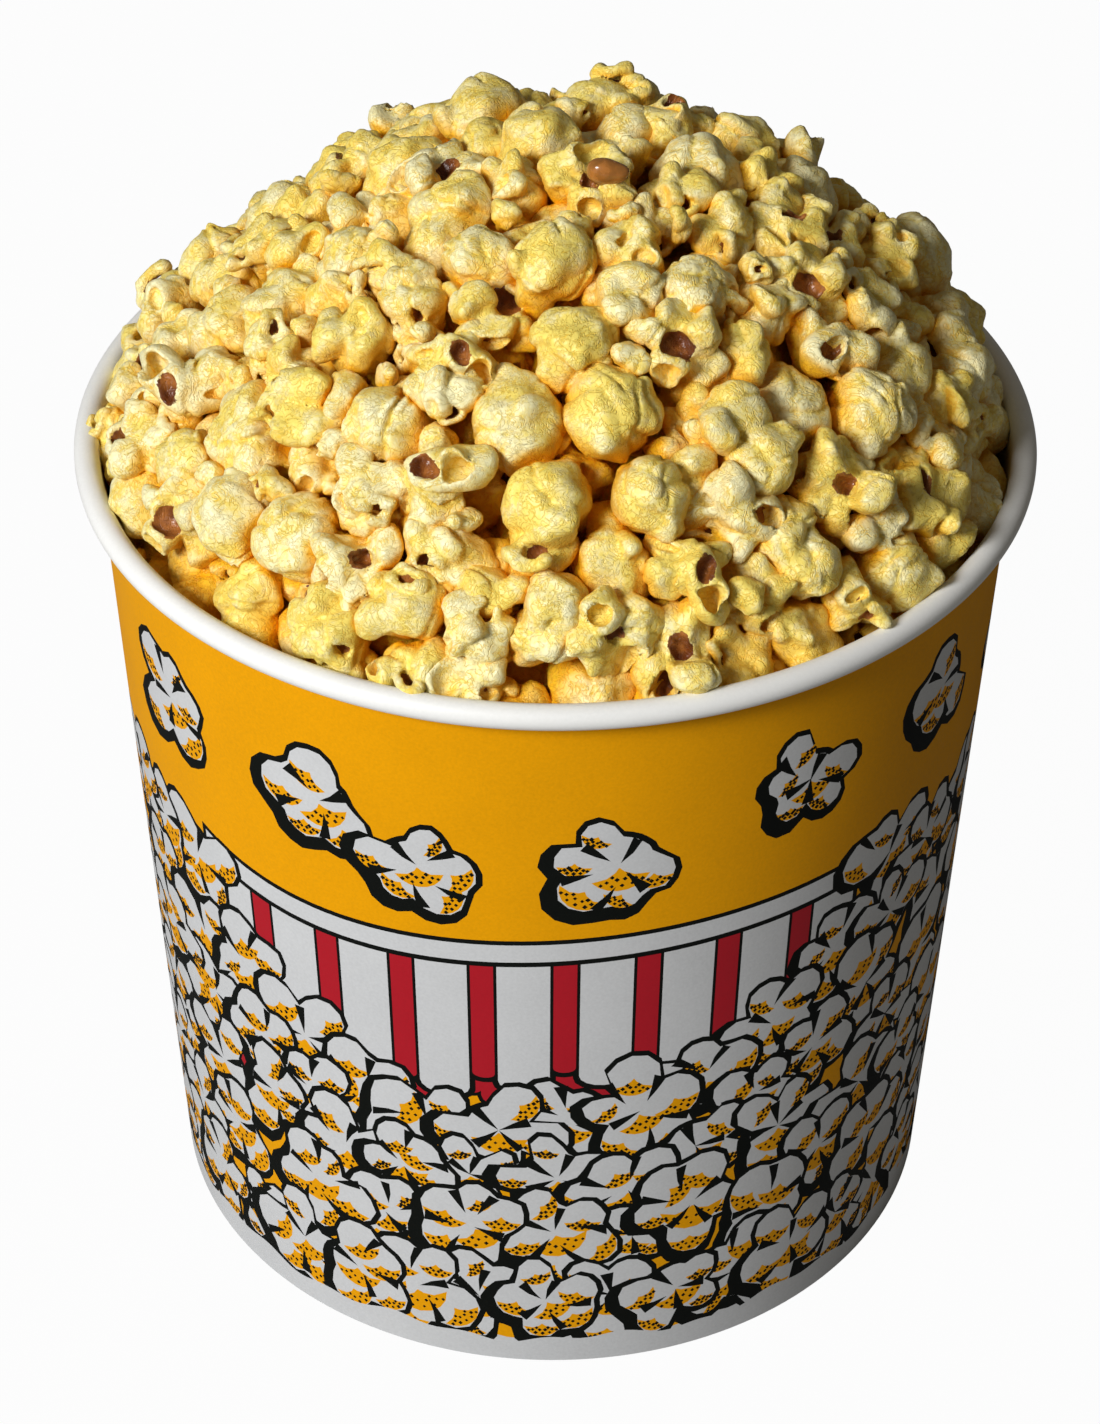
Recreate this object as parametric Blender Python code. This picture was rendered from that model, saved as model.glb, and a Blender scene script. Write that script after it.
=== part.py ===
"""A large paperboard popcorn tub, filled and heaped with popcorn.

Three solids: the tapered side wall with its rolled rim and folded foot, the recessed base disc that the foot
holds, and the popcorn, one lumpy solid from the base up to its heaped outline. The origin is the centre of the
foot, +Z is up, and the seam of the side wall is at the back, on +Y. All sizes are in metres.
"""

import math
import random

import bmesh
import bpy
from mathutils import Vector

# Driving dimensions of the tub
RIM_DIAMETER = 0.202
BASE_DIAMETER = 0.1715
TUB_HEIGHT = 0.194
BOARD = 0.0006
BEAD_DIAMETER = 0.0053
FOOT_HEIGHT = 0.0100
GAP = 0.0003
SEAM_SIDES = 2
SEAM_INSET = 0.0003

# Driving dimensions of the heap
HEAP_HEIGHT = 0.0640
HEAP_EDGE = 0.0990
HEAP_ROUNDNESS = 2.6
HEAP_PEAK = (0.008, 0.0)
OVERHANG = 0.0030
FLAKE_RADIUS = (0.0088, 0.0116)
FLAKE_SPACING = 0.84
FLAKE_TRIES = 5000
SEED = 11

# How finely the round shapes are faceted
SEGMENTS = 96
BEAD_STEPS = 11
HEAP_SEGMENTS = 96
HEAP_FACET = 0.0044

BEAD_RADIUS = BEAD_DIAMETER / 2
BEAD_CENTRE = (RIM_DIAMETER / 2 - BEAD_RADIUS, TUB_HEIGHT - BEAD_RADIUS)
MOUTH_RADIUS = RIM_DIAMETER / 2 - BEAD_DIAMETER
TAPER = (MOUTH_RADIUS + BOARD - BASE_DIAMETER / 2) / BEAD_CENTRE[1]
PAPER_WHITE = (0.86, 0.85, 0.82, 1.0)
AMBER = (0.86, 0.47, 0.02, 1.0)
BUTTER = (0.88, 0.73, 0.33, 1.0)


def wall_radius(z, layers=0.0):
    """Radius of the side wall's outer face at height z, less a number of metres towards the axis."""
    return BASE_DIAMETER / 2 + TAPER * z - layers


def material(name, colour, roughness):
    """A Principled material of one colour."""
    made = bpy.data.materials.new(name)
    made.use_nodes = True
    shader = made.node_tree.nodes["Principled BSDF"]
    shader.inputs["Base Color"].default_value = colour
    shader.inputs["Roughness"].default_value = roughness
    shader.inputs["Metallic"].default_value = 0.0
    return made


def finished(name, bm, finish, sharp_angle=math.radians(35)):
    """The bmesh as a named object with its faces pointing out, shaded smooth."""
    bmesh.ops.remove_doubles(bm, verts=bm.verts, dist=1e-6)
    bmesh.ops.recalc_face_normals(bm, faces=bm.faces)
    mesh = bpy.data.meshes.new(name)
    bm.to_mesh(mesh)
    bm.free()
    mesh.shade_smooth()
    mesh.set_sharp_from_angle(angle=sharp_angle)
    mesh.materials.append(finish)
    obj = bpy.data.objects.new(name, mesh)
    bpy.context.scene.collection.objects.link(obj)
    return obj


def turned(profile, closed):
    """A bmesh turned once round the Z axis from (radius, height) points, as on a lathe."""
    bm = bmesh.new()
    verts = [bm.verts.new((radius, 0.0, height)) for radius, height in profile]
    ends = verts[1:] + verts[:1] if closed else verts[1:]
    edges = [bm.edges.new(pair) for pair in zip(verts, ends)]
    bmesh.ops.spin(
        bm,
        geom=verts + edges,
        cent=(0.0, 0.0, 0.0),
        axis=(0.0, 0.0, 1.0),
        angle=math.tau,
        steps=SEGMENTS,
    )
    return bm


def ring_of(bm, places):
    """Vertices at the given places, in order round the axis."""
    return [bm.verts.new(place) for place in places]


def bead_arc():
    """Points round the rolled rim, from the wall's outer face over the top to the mouth."""
    centre_radius, centre_height = BEAD_CENTRE
    inset = wall_radius(centre_height) - centre_radius
    start = -math.acos(inset / BEAD_RADIUS)
    steps = [start + (math.pi - start) * step / BEAD_STEPS for step in range(BEAD_STEPS + 1)]
    return [
        (centre_radius + BEAD_RADIUS * math.cos(turn), centre_height + BEAD_RADIUS * math.sin(turn))
        for turn in steps
    ]


def wall_profile():
    """Section of the side wall: outer face, rolled rim, inner face, and the hem folded up inside the foot."""
    slot_outer = BOARD
    slot_inner = 2 * BOARD + 2 * GAP
    hem_inner = slot_inner + BOARD
    return [
        (wall_radius(0.0), 0.0),
        *bead_arc(),
        (wall_radius(BOARD, slot_outer), BOARD),
        (wall_radius(BOARD, slot_inner), BOARD),
        (wall_radius(FOOT_HEIGHT - 0.002, slot_inner), FOOT_HEIGHT - 0.002),
        (wall_radius(FOOT_HEIGHT - 0.002, hem_inner), FOOT_HEIGHT - 0.002),
        (wall_radius(0.0, hem_inner), 0.0),
    ]


def make_seam(finish):
    """The lap of the glued side seam at the back: one more board on the wall, from the foot to the rolled rim."""
    bm = bmesh.new()
    turns = [math.pi / 2 + math.tau / SEGMENTS * (side - SEAM_SIDES / 2) for side in range(SEAM_SIDES + 1)]
    section = []
    for height in (BOARD, BEAD_CENTRE[1] - BEAD_RADIUS / 2):
        inner, outer = wall_radius(height, SEAM_INSET), wall_radius(height) + BOARD
        section.append([(inner, turn, height) for turn in turns] + [(outer, turn, height) for turn in turns[::-1]])
    lower, upper = [
        ring_of(bm, [(radius * math.cos(turn), radius * math.sin(turn), height) for radius, turn, height in row])
        for row in section
    ]
    bm.faces.new(lower)
    bm.faces.new(upper[::-1])
    for corner in range(len(lower)):
        after = (corner + 1) % len(lower)
        bm.faces.new((lower[corner], upper[corner], upper[after], lower[after]))
    lap = finished("seam_lap", bm, finish)
    lap.hide_render = True
    lap.display_type = "WIRE"
    return lap


def make_wall(finish):
    """The side wall, its rim rolled outwards, its foot folded in round the base disc's skirt, its seam behind."""
    wall = finished("bucket_wall", turned(wall_profile(), closed=True), finish)
    union = wall.modifiers.new("seam", "BOOLEAN")
    union.operation = "UNION"
    union.solver = "EXACT"
    union.object = make_seam(finish)
    return wall


def make_base(finish):
    """The base disc, set up inside the foot, with its skirt turned down into the folded hem."""
    skirt_outer = BOARD + GAP
    skirt_inner = 2 * BOARD + GAP
    profile = [
        (0.0, FOOT_HEIGHT),
        (wall_radius(FOOT_HEIGHT, skirt_outer), FOOT_HEIGHT),
        (wall_radius(BOARD + GAP, skirt_outer), BOARD + GAP),
        (wall_radius(BOARD + GAP, skirt_inner), BOARD + GAP),
        (wall_radius(FOOT_HEIGHT - BOARD, skirt_inner), FOOT_HEIGHT - BOARD),
        (0.0, FOOT_HEIGHT - BOARD),
    ]
    return finished("bucket_base", turned(profile, closed=False), finish)


def heap_height(x, y):
    """Height of the heap's smooth envelope over the rim: rounded, with its peak a little to one side."""
    peak = Vector(HEAP_PEAK)
    away = Vector((x, y)) - peak
    if away.length < 1e-9:
        return HEAP_HEIGHT
    out = peak.dot(away.normalized())
    reach = math.sqrt(out**2 + HEAP_EDGE**2 - peak.length_squared) - out
    return HEAP_HEIGHT * (1 - min(away.length / reach, 1.0) ** HEAP_ROUNDNESS)


def under_envelope(x, y, depth):
    """The point that lies square under the envelope at (x, y), by the given depth."""
    step = 0.0005
    slope_x = (heap_height(x + step, y) - heap_height(x - step, y)) / (2 * step)
    slope_y = (heap_height(x, y + step) - heap_height(x, y - step)) / (2 * step)
    normal = Vector((-slope_x, -slope_y, 1.0)).normalized()
    return Vector((x, y, TUB_HEIGHT + heap_height(x, y))) - normal * depth


def room(z):
    """How far from the axis popcorn may lie at height z: within the mouth, and a little over the rim above it."""
    if z <= TUB_HEIGHT + GAP:
        return wall_radius(z, BOARD + GAP) if z < BEAD_CENTRE[1] else MOUTH_RADIUS - GAP
    return MOUTH_RADIUS - GAP + min(z - TUB_HEIGHT - GAP, OVERHANG)


def flake_sites():
    """Centre and radius of each flake of popcorn in the top layer, set down at random where there is room."""
    draw = random.Random(SEED)
    sites = []
    for _ in range(FLAKE_TRIES):
        angle = draw.uniform(0.0, math.tau)
        out = HEAP_EDGE * math.sqrt(draw.random())
        radius = draw.uniform(*FLAKE_RADIUS)
        centre = under_envelope(out * math.cos(angle), out * math.sin(angle), radius)
        level = math.hypot(centre.x, centre.y)
        most = room(centre.z) - radius
        if level > most:
            centre.x *= most / level
            centre.y *= most / level
        if all((centre - other).length > FLAKE_SPACING * (radius + size) for other, size in sites):
            sites.append((centre, radius))
    return sites


def ray_exit(origin, direction, centre, radius):
    """How far along the ray its last crossing of a ball is, or 0 where it misses."""
    towards = centre - origin
    along = towards.dot(direction)
    spare = radius**2 - (towards.length_squared - along**2)
    return along + math.sqrt(spare) if spare > 0 else 0.0


def heap_reach(origin, direction, sites):
    """Distance from the heart of the heap to its surface: over a flake, or the flakes below in a gap."""
    near, far = 0.0, 0.2
    for _ in range(20):
        middle = (near + far) / 2
        at = origin + direction * middle
        below = at.z < TUB_HEIGHT + heap_height(at.x, at.y) - FLAKE_RADIUS[0]
        near, far = (middle, far) if below else (near, middle)
    return max(near, max(ray_exit(origin, direction, centre, radius) for centre, radius in sites))


def zip_rings(bm, lower, upper):
    """Joins two rings of vertices with triangles, whatever their counts."""
    low, high = 0, 0
    while low < len(lower) or high < len(upper):
        below, above = lower[low % len(lower)], upper[high % len(upper)]
        if (low + 1) * len(upper) <= (high + 1) * len(lower) and low < len(lower):
            low += 1
            bm.faces.new((below, lower[low % len(lower)], above))
        else:
            high += 1
            bm.faces.new((below, upper[high % len(upper)], above))


def make_heap(finish):
    """The popcorn: a plug that fills the tub, and above it the heap with a lump for each flake of its top layer."""
    sites = flake_sites()
    heart = Vector((0.0, 0.0, TUB_HEIGHT - 0.045))
    rim_rise = math.atan2(TUB_HEIGHT + GAP - heart.z, MOUTH_RADIUS - GAP)
    step = HEAP_FACET / MOUTH_RADIUS
    count = round((math.pi / 2 - rim_rise) / step)
    rises = [rim_rise - 2 * step, rim_rise - step]
    rises += [rim_rise + (math.pi / 2 - rim_rise) * ring / count for ring in range(count)]
    bm = bmesh.new()
    rings = []
    for height in (FOOT_HEIGHT + GAP, heart.z):
        turns = [math.tau * side / HEAP_SEGMENTS for side in range(HEAP_SEGMENTS)]
        radius = room(height)
        rings.append(
            ring_of(bm, [(radius * math.cos(turn), radius * math.sin(turn), height) for turn in turns])
        )
    for rise in rises:
        sides = max(6, round(HEAP_SEGMENTS * 1.45 * math.cos(rise)))
        places = []
        for side in range(sides):
            turn = math.tau * side / sides
            level = Vector((math.cos(turn), math.sin(turn), 0.0))
            direction = level * math.cos(rise) + Vector((0.0, 0.0, math.sin(rise)))
            at = heart + direction * heap_reach(heart, direction, sites)
            out = min(math.hypot(at.x, at.y), room(at.z))
            places.append(level * out + Vector((0.0, 0.0, at.z)))
        rings.append(ring_of(bm, places))
    for lower, upper in zip(rings, rings[1:]):
        zip_rings(bm, lower, upper)
    bm.faces.new(rings[0][::-1])
    up = Vector((0.0, 0.0, 1.0))
    top = bm.verts.new(heart + up * heap_reach(heart, up, sites))
    for vert, after in zip(rings[-1], rings[-1][1:] + rings[-1][:1]):
        bm.faces.new((vert, after, top))
    return finished("popcorn_heap", bm, finish)


def main():
    """Clears the scene and builds the tub and its popcorn."""
    for obj in list(bpy.data.objects):
        bpy.data.objects.remove(obj)
    make_wall(material("printed_board", AMBER, 0.45))
    make_base(material("plain_board", PAPER_WHITE, 0.6))
    make_heap(material("popcorn", BUTTER, 0.75))


main()
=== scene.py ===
"""Dresses the tub of popcorn: the board tub with its print, the heap of popped flakes, and a plain studio.

Laid out as a Blender add-on and run as a script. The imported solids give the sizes. Lengths in the settings are
in metres; the flakes are worked out one by one in millimetres, as distance fields, and then laid in the heap.
"""

import math
import random

import bpy
import numpy as np
from bpy.props import FloatProperty, FloatVectorProperty, IntProperty, PointerProperty
from mathutils import Euler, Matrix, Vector
from mathutils.geometry import delaunay_2d_cdt


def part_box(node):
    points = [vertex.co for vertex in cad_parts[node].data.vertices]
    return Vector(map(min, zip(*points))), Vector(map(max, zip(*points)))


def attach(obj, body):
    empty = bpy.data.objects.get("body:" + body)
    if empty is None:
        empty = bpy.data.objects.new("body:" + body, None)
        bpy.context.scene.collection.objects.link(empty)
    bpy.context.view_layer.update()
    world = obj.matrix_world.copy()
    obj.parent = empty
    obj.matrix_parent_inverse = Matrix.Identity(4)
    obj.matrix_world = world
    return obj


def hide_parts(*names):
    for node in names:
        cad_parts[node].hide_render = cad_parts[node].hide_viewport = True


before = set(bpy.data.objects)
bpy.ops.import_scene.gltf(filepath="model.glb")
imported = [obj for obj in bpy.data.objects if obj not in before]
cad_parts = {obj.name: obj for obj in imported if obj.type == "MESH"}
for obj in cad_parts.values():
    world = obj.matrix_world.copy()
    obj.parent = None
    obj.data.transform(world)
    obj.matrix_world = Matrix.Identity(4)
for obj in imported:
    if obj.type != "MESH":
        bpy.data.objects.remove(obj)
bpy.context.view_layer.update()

bl_info = {
    "name": "Popcorn Tub",
    "version": (1, 0, 0),
    "blender": (4, 5, 0),
    "location": "3D View > Sidebar > Popcorn",
    "description": "Builds a printed board tub, its heap of popcorn and a plain studio round the packed solids",
    "category": "Object",
}

BODY = "root"
WALL_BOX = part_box("bucket_wall")
HEAP_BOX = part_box("popcorn_heap")
MM = 0.001


# ------------------------------------------------------------------------------------------------- settings


def length(name, description, default):
    """A length setting in metres."""
    return FloatProperty(name=name, description=description, default=default, unit="LENGTH", precision=5)


def colour(name, description, default):
    """A colour setting, in linear values."""
    return FloatVectorProperty(
        name=name, description=description, default=default, subtype="COLOR", size=3, min=0.0, max=1.0
    )


class BoardSettings(bpy.types.PropertyGroup):
    """Sizes and colours of the board tub."""

    rim: length("Rim", "Diameter over the rolled rim", WALL_BOX[1][0] - WALL_BOX[0][0])
    height: length("Height", "Height of the tub", WALL_BOX[1][2] - WALL_BOX[0][2])
    base: length("Base", "Diameter of the foot", 0.1715)
    board: length("Board", "Thickness of the board", 0.0006)
    bead: length("Bead", "Thickness of the rolled rim", 0.0053)
    foot: length("Foot", "Height of the base disc over the foot", 0.0100)
    seam: length("Seam", "Width of the glued lap at the back", 0.0126)
    wave: length("Wave", "How far the wall wanders from a true cone", 0.00022)
    paper: colour("Paper", "Unprinted board", (0.86, 0.86, 0.84))
    inside: colour("Inside", "Coated inside of the tub", (0.84, 0.81, 0.70))
    stain: colour("Butter stain", "Board that butter has soaked into", (0.78, 0.62, 0.28))


class PrintSettings(bpy.types.PropertyGroup):
    """Sizes and inks of the print round the tub."""

    amber: colour("Amber", "Ink of the ground", (0.80, 0.345, 0.001))
    white: colour("White", "Bare board left by the print", (0.60, 0.61, 0.62))
    black: colour("Black", "Ink of the outlines", (0.006, 0.007, 0.006))
    crimson: colour("Crimson", "Ink of the awning's shadow and stripes", (0.42, 0.008, 0.018))
    foot_band: length("Foot band", "Height of the unprinted band round the foot", 0.0075)
    heap_front: length("Heap, front", "Height of the printed heap in the middle of the front", 0.076)
    heap_side: length("Heap, sides", "Height of the printed heap away from the front", 0.119)
    flake: length("Flake", "Radius of a printed flake", 0.0140)
    seed: IntProperty(name="Seed", description="Another layout of the printed flakes", default=5)


class HeapSettings(bpy.types.PropertyGroup):
    """Shape and colours of the heap."""

    height: length("Height", "Height of the heap over the rim", 0.0640)
    edge: length("Edge", "Radius at which the heap comes down to the rim", 0.0990)
    roundness: FloatProperty(name="Roundness", description="Fullness of the heap's shoulders", default=2.3)
    peak: length("Peak", "How far the peak lies to the right of the axis", 0.008)
    seed: IntProperty(name="Seed", description="Another lay of the flakes", default=7)
    cream: colour("Cream", "Palest parts of a flake", (0.97, 0.905, 0.54))
    butter: colour("Butter", "Buttered parts of a flake", (0.965, 0.765, 0.165))
    # the vein colour tints the fine wrinkles, and as painted shade the creases of each flake
    vein: colour("Vein", "Creases where butter gathers", (0.93, 0.60, 0.05))
    # Deep is painted shade: a darker golden tint multiplied into the flakes where other flakes crowd round them,
    # where they lie deep under the heap's top, and over the whole core
    deep: colour("Deep", "Tint of what lies between the flakes, soaked in butter", (0.96, 0.61, 0.045))
    hull: colour("Hull", "Bran left on a flake", (0.15, 0.038, 0.007))
    hull_pale: colour("Hull, pale", "Bran where it is thin", (0.40, 0.14, 0.028))
    kernel: colour("Kernel", "Grain that has not popped", (0.20, 0.060, 0.008))
    kernel_pale: colour("Kernel, pale", "Paler blots on the grain", (0.40, 0.13, 0.02))
    tip: colour("Tip", "Tip of the grain", (0.62, 0.36, 0.10))


class StudioSettings(bpy.types.PropertyGroup):
    """Camera, lights and floor."""

    pitch: FloatProperty(
        name="Pitch", description="How far the camera looks down", default=math.radians(38.0243), subtype="ANGLE"
    )
    roll: FloatProperty(name="Roll", description="Roll of the camera", default=math.radians(-0.2686), subtype="ANGLE")
    back: length("Back", "Distance of the camera in front of the axis", 0.73808)
    up: length("Up", "Height of the camera over the rim", 0.49897)
    aside: length("Aside", "Distance of the camera to the left of the axis", 0.00078)
    lens: FloatProperty(name="Lens", description="Focal length in millimetres", default=107.13)
    key: FloatProperty(name="Key", description="Power of the soft light at the left, in watts", default=64.0)
    fill: FloatProperty(name="Fill", description="Strength of the light from all round", default=0.10)
    floor: colour("Floor", "Colour of the floor", (0.30, 0.30, 0.30))
    glow: FloatProperty(name="Glow", description="How far the floor is lifted to white for the camera", default=0.97)


# ------------------------------------------------------------------------------------------------- materials


def add_node(tree, kind, inputs=None, **settings):
    """A node with its settings made and its sockets filled with values or linked to other nodes' sockets."""
    made = tree.nodes.new(kind)
    for key, value in settings.items():
        setattr(made, key, value)
    for name, value in (inputs or {}).items():
        if isinstance(value, bpy.types.NodeSocket):
            tree.links.new(value, made.inputs[name])
        else:
            made.inputs[name].default_value = value
    return made


def new_material(name):
    """A material with its node tree and its main shader."""
    made = bpy.data.materials.new(name)
    made.use_nodes = True
    return made, made.node_tree, made.node_tree.nodes["Principled BSDF"]


def mix_colours(tree, factor, first, second, blend="MIX"):
    """The two colours mixed by the factor."""
    made = add_node(tree, "ShaderNodeMix", data_type="RGBA", blend_type=blend)
    live = {socket.name: socket for socket in made.inputs if socket.enabled}
    for name, value in (("Factor", factor), ("A", first), ("B", second)):
        if isinstance(value, bpy.types.NodeSocket):
            tree.links.new(value, live[name])
        elif name == "Factor":
            live[name].default_value = value
        else:
            live[name].default_value = (*value, 1.0)
    return next(socket for socket in made.outputs if socket.enabled)


def arithmetic(tree, operation, *values, clamp=False):
    """The result of a Math node."""
    made = tree.nodes.new("ShaderNodeMath")
    made.operation = operation
    made.use_clamp = clamp
    for socket, value in zip(made.inputs, values):
        if isinstance(value, bpy.types.NodeSocket):
            tree.links.new(value, socket)
        else:
            socket.default_value = value
    return made.outputs[0]


def spread(tree, value, low, high, bottom=0.0, top=1.0):
    """The value from low to high, spread over bottom to top with soft ends."""
    made = add_node(tree, "ShaderNodeMapRange", interpolation_type="SMOOTHSTEP")
    for name, amount in zip(("Value", "From Min", "From Max", "To Min", "To Max"), (value, low, high, bottom, top)):
        if isinstance(amount, bpy.types.NodeSocket):
            tree.links.new(amount, made.inputs[name])
        else:
            made.inputs[name].default_value = amount
    return made.outputs["Result"]


def noise(tree, place, scale, detail, rough=0.6, warp=0.0):
    """Value of a noise texture."""
    inputs = {"Vector": place, "Scale": scale, "Detail": detail, "Roughness": rough, "Distortion": warp}
    return add_node(tree, "ShaderNodeTexNoise", inputs).outputs["Fac"]


def node_group(name, inputs, outputs):
    """An empty shader node group with its sockets, and its inner input and output nodes."""
    group = bpy.data.node_groups.new(name, "ShaderNodeTree")
    for socket, kind, value in inputs:
        made = group.interface.new_socket(socket, in_out="INPUT", socket_type=kind)
        made.default_value = value
    for socket, kind in outputs:
        group.interface.new_socket(socket, in_out="OUTPUT", socket_type=kind)
    return group, group.nodes.new("NodeGroupInput").outputs, group.nodes.new("NodeGroupOutput").inputs


def paper_grain_group():
    """Paper grain: fibres and mottle over a colour, with the height and gloss that go with them."""
    name = "Paper Grain"
    if name in bpy.data.node_groups:
        return bpy.data.node_groups[name]
    group, given, wanted = node_group(
        name,
        [
            ("Colour", "NodeSocketColor", (0.8, 0.8, 0.8, 1.0)),
            ("Fibres per Metre", "NodeSocketFloat", 1500.0),
            ("Mottle", "NodeSocketFloat", 0.08),
            ("Gloss", "NodeSocketFloat", 0.45),
        ],
        [("Colour", "NodeSocketColor"), ("Roughness", "NodeSocketFloat"), ("Height", "NodeSocketFloat")],
    )
    place = add_node(group, "ShaderNodeTexCoord").outputs["Object"]
    fine = noise(group, place, given["Fibres per Metre"], 3.0)
    grain = arithmetic(group, "SUBTRACT", fine, 0.5)
    cloud = arithmetic(group, "SUBTRACT", noise(group, place, 55.0, 4.0), 0.5)
    both = arithmetic(group, "MULTIPLY_ADD", grain, 1.7, arithmetic(group, "MULTIPLY", cloud, 0.9))
    light = arithmetic(group, "MULTIPLY_ADD", both, given["Mottle"], 1.0)
    tone = add_node(group, "ShaderNodeCombineColor", {"Red": light, "Green": light, "Blue": light})
    group.links.new(mix_colours(group, 1.0, given["Colour"], tone.outputs[0], "MULTIPLY"), wanted["Colour"])
    group.links.new(arithmetic(group, "MULTIPLY_ADD", both, 0.12, given["Gloss"]), wanted["Roughness"])
    group.links.new(fine, wanted["Height"])
    return group


def paper_material(name, tint, mottle, gloss, fibres=1500.0, sheen=0.35):
    """Printed or bare board."""
    made, tree, shader = new_material(name)
    grain = add_node(
        tree,
        "ShaderNodeGroup",
        {"Colour": (*tint, 1.0), "Fibres per Metre": fibres, "Mottle": mottle, "Gloss": gloss},
        node_tree=paper_grain_group(),
    )
    height = grain.outputs["Height"]
    bump = add_node(tree, "ShaderNodeBump", {"Height": height, "Distance": 0.00003, "Strength": 0.6})
    tree.links.new(grain.outputs["Colour"], shader.inputs["Base Color"])
    tree.links.new(grain.outputs["Roughness"], shader.inputs["Roughness"])
    tree.links.new(bump.outputs["Normal"], shader.inputs["Normal"])
    shader.inputs["Specular IOR Level"].default_value = sheen
    return made


def inside_material(settings):
    """The tub's coated inside, with butter soaked into it low down."""
    made = paper_material("tub_inside", settings.inside, 0.05, 0.42)
    tree = made.node_tree
    shader = tree.nodes["Principled BSDF"]
    plain = shader.inputs["Base Color"].links[0].from_socket
    place = add_node(tree, "ShaderNodeTexCoord").outputs["Object"]
    blot = noise(tree, place, 60.0, 5.0)
    height = add_node(tree, "ShaderNodeSeparateXYZ", {"Vector": place}).outputs["Z"]
    low = spread(tree, height, settings.height - 0.004, settings.height - 0.030, 0.0, 0.62)
    soaked = spread(tree, arithmetic(tree, "ADD", blot, low), 0.62, 0.95)
    tree.links.new(mix_colours(tree, soaked, plain, settings.stain), shader.inputs["Base Color"])
    return made


def flake_material(settings):
    """Popped maize: cream and butter in patches and wrinkles, with painted golden shade in the creases, between the
    flakes and in the depths, and bran in the pockets.
    """
    if "popcorn_flake" in bpy.data.materials:
        return bpy.data.materials["popcorn_flake"]
    made, tree, shader = new_material("popcorn_flake")
    look = add_node(tree, "ShaderNodeAttribute", attribute_name="flake_look")
    parts = add_node(tree, "ShaderNodeSeparateColor", {"Color": look.outputs["Color"]})
    bran, crest, tone = parts.outputs["Red"], parts.outputs["Green"], parts.outputs["Blue"]
    painted_shade = look.outputs["Alpha"]
    place = add_node(tree, "ShaderNodeTexCoord").outputs["Object"]

    def wrinkles(scale, width):
        """Fine broken lines that wander over the surface."""
        field = noise(tree, place, scale, 3.0, 0.62, 1.2)
        return spread(tree, arithmetic(tree, "ABSOLUTE", arithmetic(tree, "SUBTRACT", field, 0.5)), width, 0.0)

    patch, speck = noise(tree, place, 170.0, 2.0), noise(tree, place, 1100.0, 2.0, 0.7)
    grit = arithmetic(tree, "SUBTRACT", speck, 0.5)
    line = arithmetic(tree, "MAXIMUM", wrinkles(210.0, 0.034), wrinkles(370.0, 0.028))
    # where the butter lies: patches, more of it on some flakes, and less on the crests; the crest term also puts
    # painted shade into the hollows of each flake
    hollow_butter_and_shade = arithmetic(tree, "MULTIPLY", arithmetic(tree, "SUBTRACT", crest, 0.5), -1.1)
    level = arithmetic(tree, "ADD", arithmetic(tree, "MULTIPLY_ADD", tone, 0.34, hollow_butter_and_shade), patch)
    level = arithmetic(tree, "ADD", level, arithmetic(tree, "MULTIPLY", grit, 0.6))
    buttered = spread(tree, level, 0.31, 0.84)
    skin = mix_colours(tree, buttered, settings.cream, settings.butter)
    veined = arithmetic(tree, "MULTIPLY", line, spread(tree, patch, 0.36, 0.60, 0.20, 0.80), clamp=True)
    skin = mix_colours(tree, veined, skin, settings.vein)
    # painted shade in the creases: the hollows of each flake are tinted towards the vein colour
    crease = spread(tree, crest, 0.46, 0.10, 0.0, 0.85)
    skin = mix_colours(tree, crease, skin, settings.vein)
    # painted shade: the deep tint is multiplied in where other flakes crowd round and where the flake lies deep under
    # the heap's top
    skin = mix_colours(tree, spread(tree, painted_shade, 0.0, 0.80), skin, settings.deep, "MULTIPLY")
    dark = mix_colours(tree, spread(tree, patch, 0.40, 0.62), settings.hull, settings.hull_pale)
    shell = spread(tree, arithmetic(tree, "ADD", bran, arithmetic(tree, "MULTIPLY", grit, 0.8)), 0.40, 0.60)
    tree.links.new(mix_colours(tree, shell, skin, dark), shader.inputs["Base Color"])
    tree.links.new(spread(tree, shell, 0.0, 1.0, 0.44, 0.30), shader.inputs["Roughness"])
    relief = arithmetic(tree, "MULTIPLY", line, -0.30)
    for rise, share in ((speck, 0.34), (noise(tree, place, 420.0, 2.0, 0.5), 0.85)):
        relief = arithmetic(tree, "ADD", relief, arithmetic(tree, "MULTIPLY", rise, share))
    bump = add_node(tree, "ShaderNodeBump", {"Height": relief, "Distance": 0.00045, "Strength": 0.80})
    tree.links.new(bump.outputs["Normal"], shader.inputs["Normal"])
    shader.inputs["Specular IOR Level"].default_value = 0.45
    return made


def kernel_material(settings):
    """A grain that has not popped: glossy brown with a paler tip."""
    made, tree, shader = new_material("maize_kernel")
    look = add_node(tree, "ShaderNodeAttribute", attribute_name="flake_look")
    parts = add_node(tree, "ShaderNodeSeparateColor", {"Color": look.outputs["Color"]})
    place = add_node(tree, "ShaderNodeTexCoord").outputs["Object"]
    blot = noise(tree, place, 400.0, 3.0, 0.5)
    body = mix_colours(tree, spread(tree, blot, 0.35, 0.7), settings.kernel, settings.kernel_pale)
    tip = arithmetic(tree, "MULTIPLY", parts.outputs["Green"], 0.25)
    tree.links.new(mix_colours(tree, tip, body, settings.tip), shader.inputs["Base Color"])
    tree.links.new(spread(tree, blot, 0.3, 0.7, 0.16, 0.30), shader.inputs["Roughness"])
    shader.inputs["Coat Weight"].default_value = 0.5
    shader.inputs["Coat Roughness"].default_value = 0.12
    return made


# ------------------------------------------------------------------------------------------------- meshes


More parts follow.
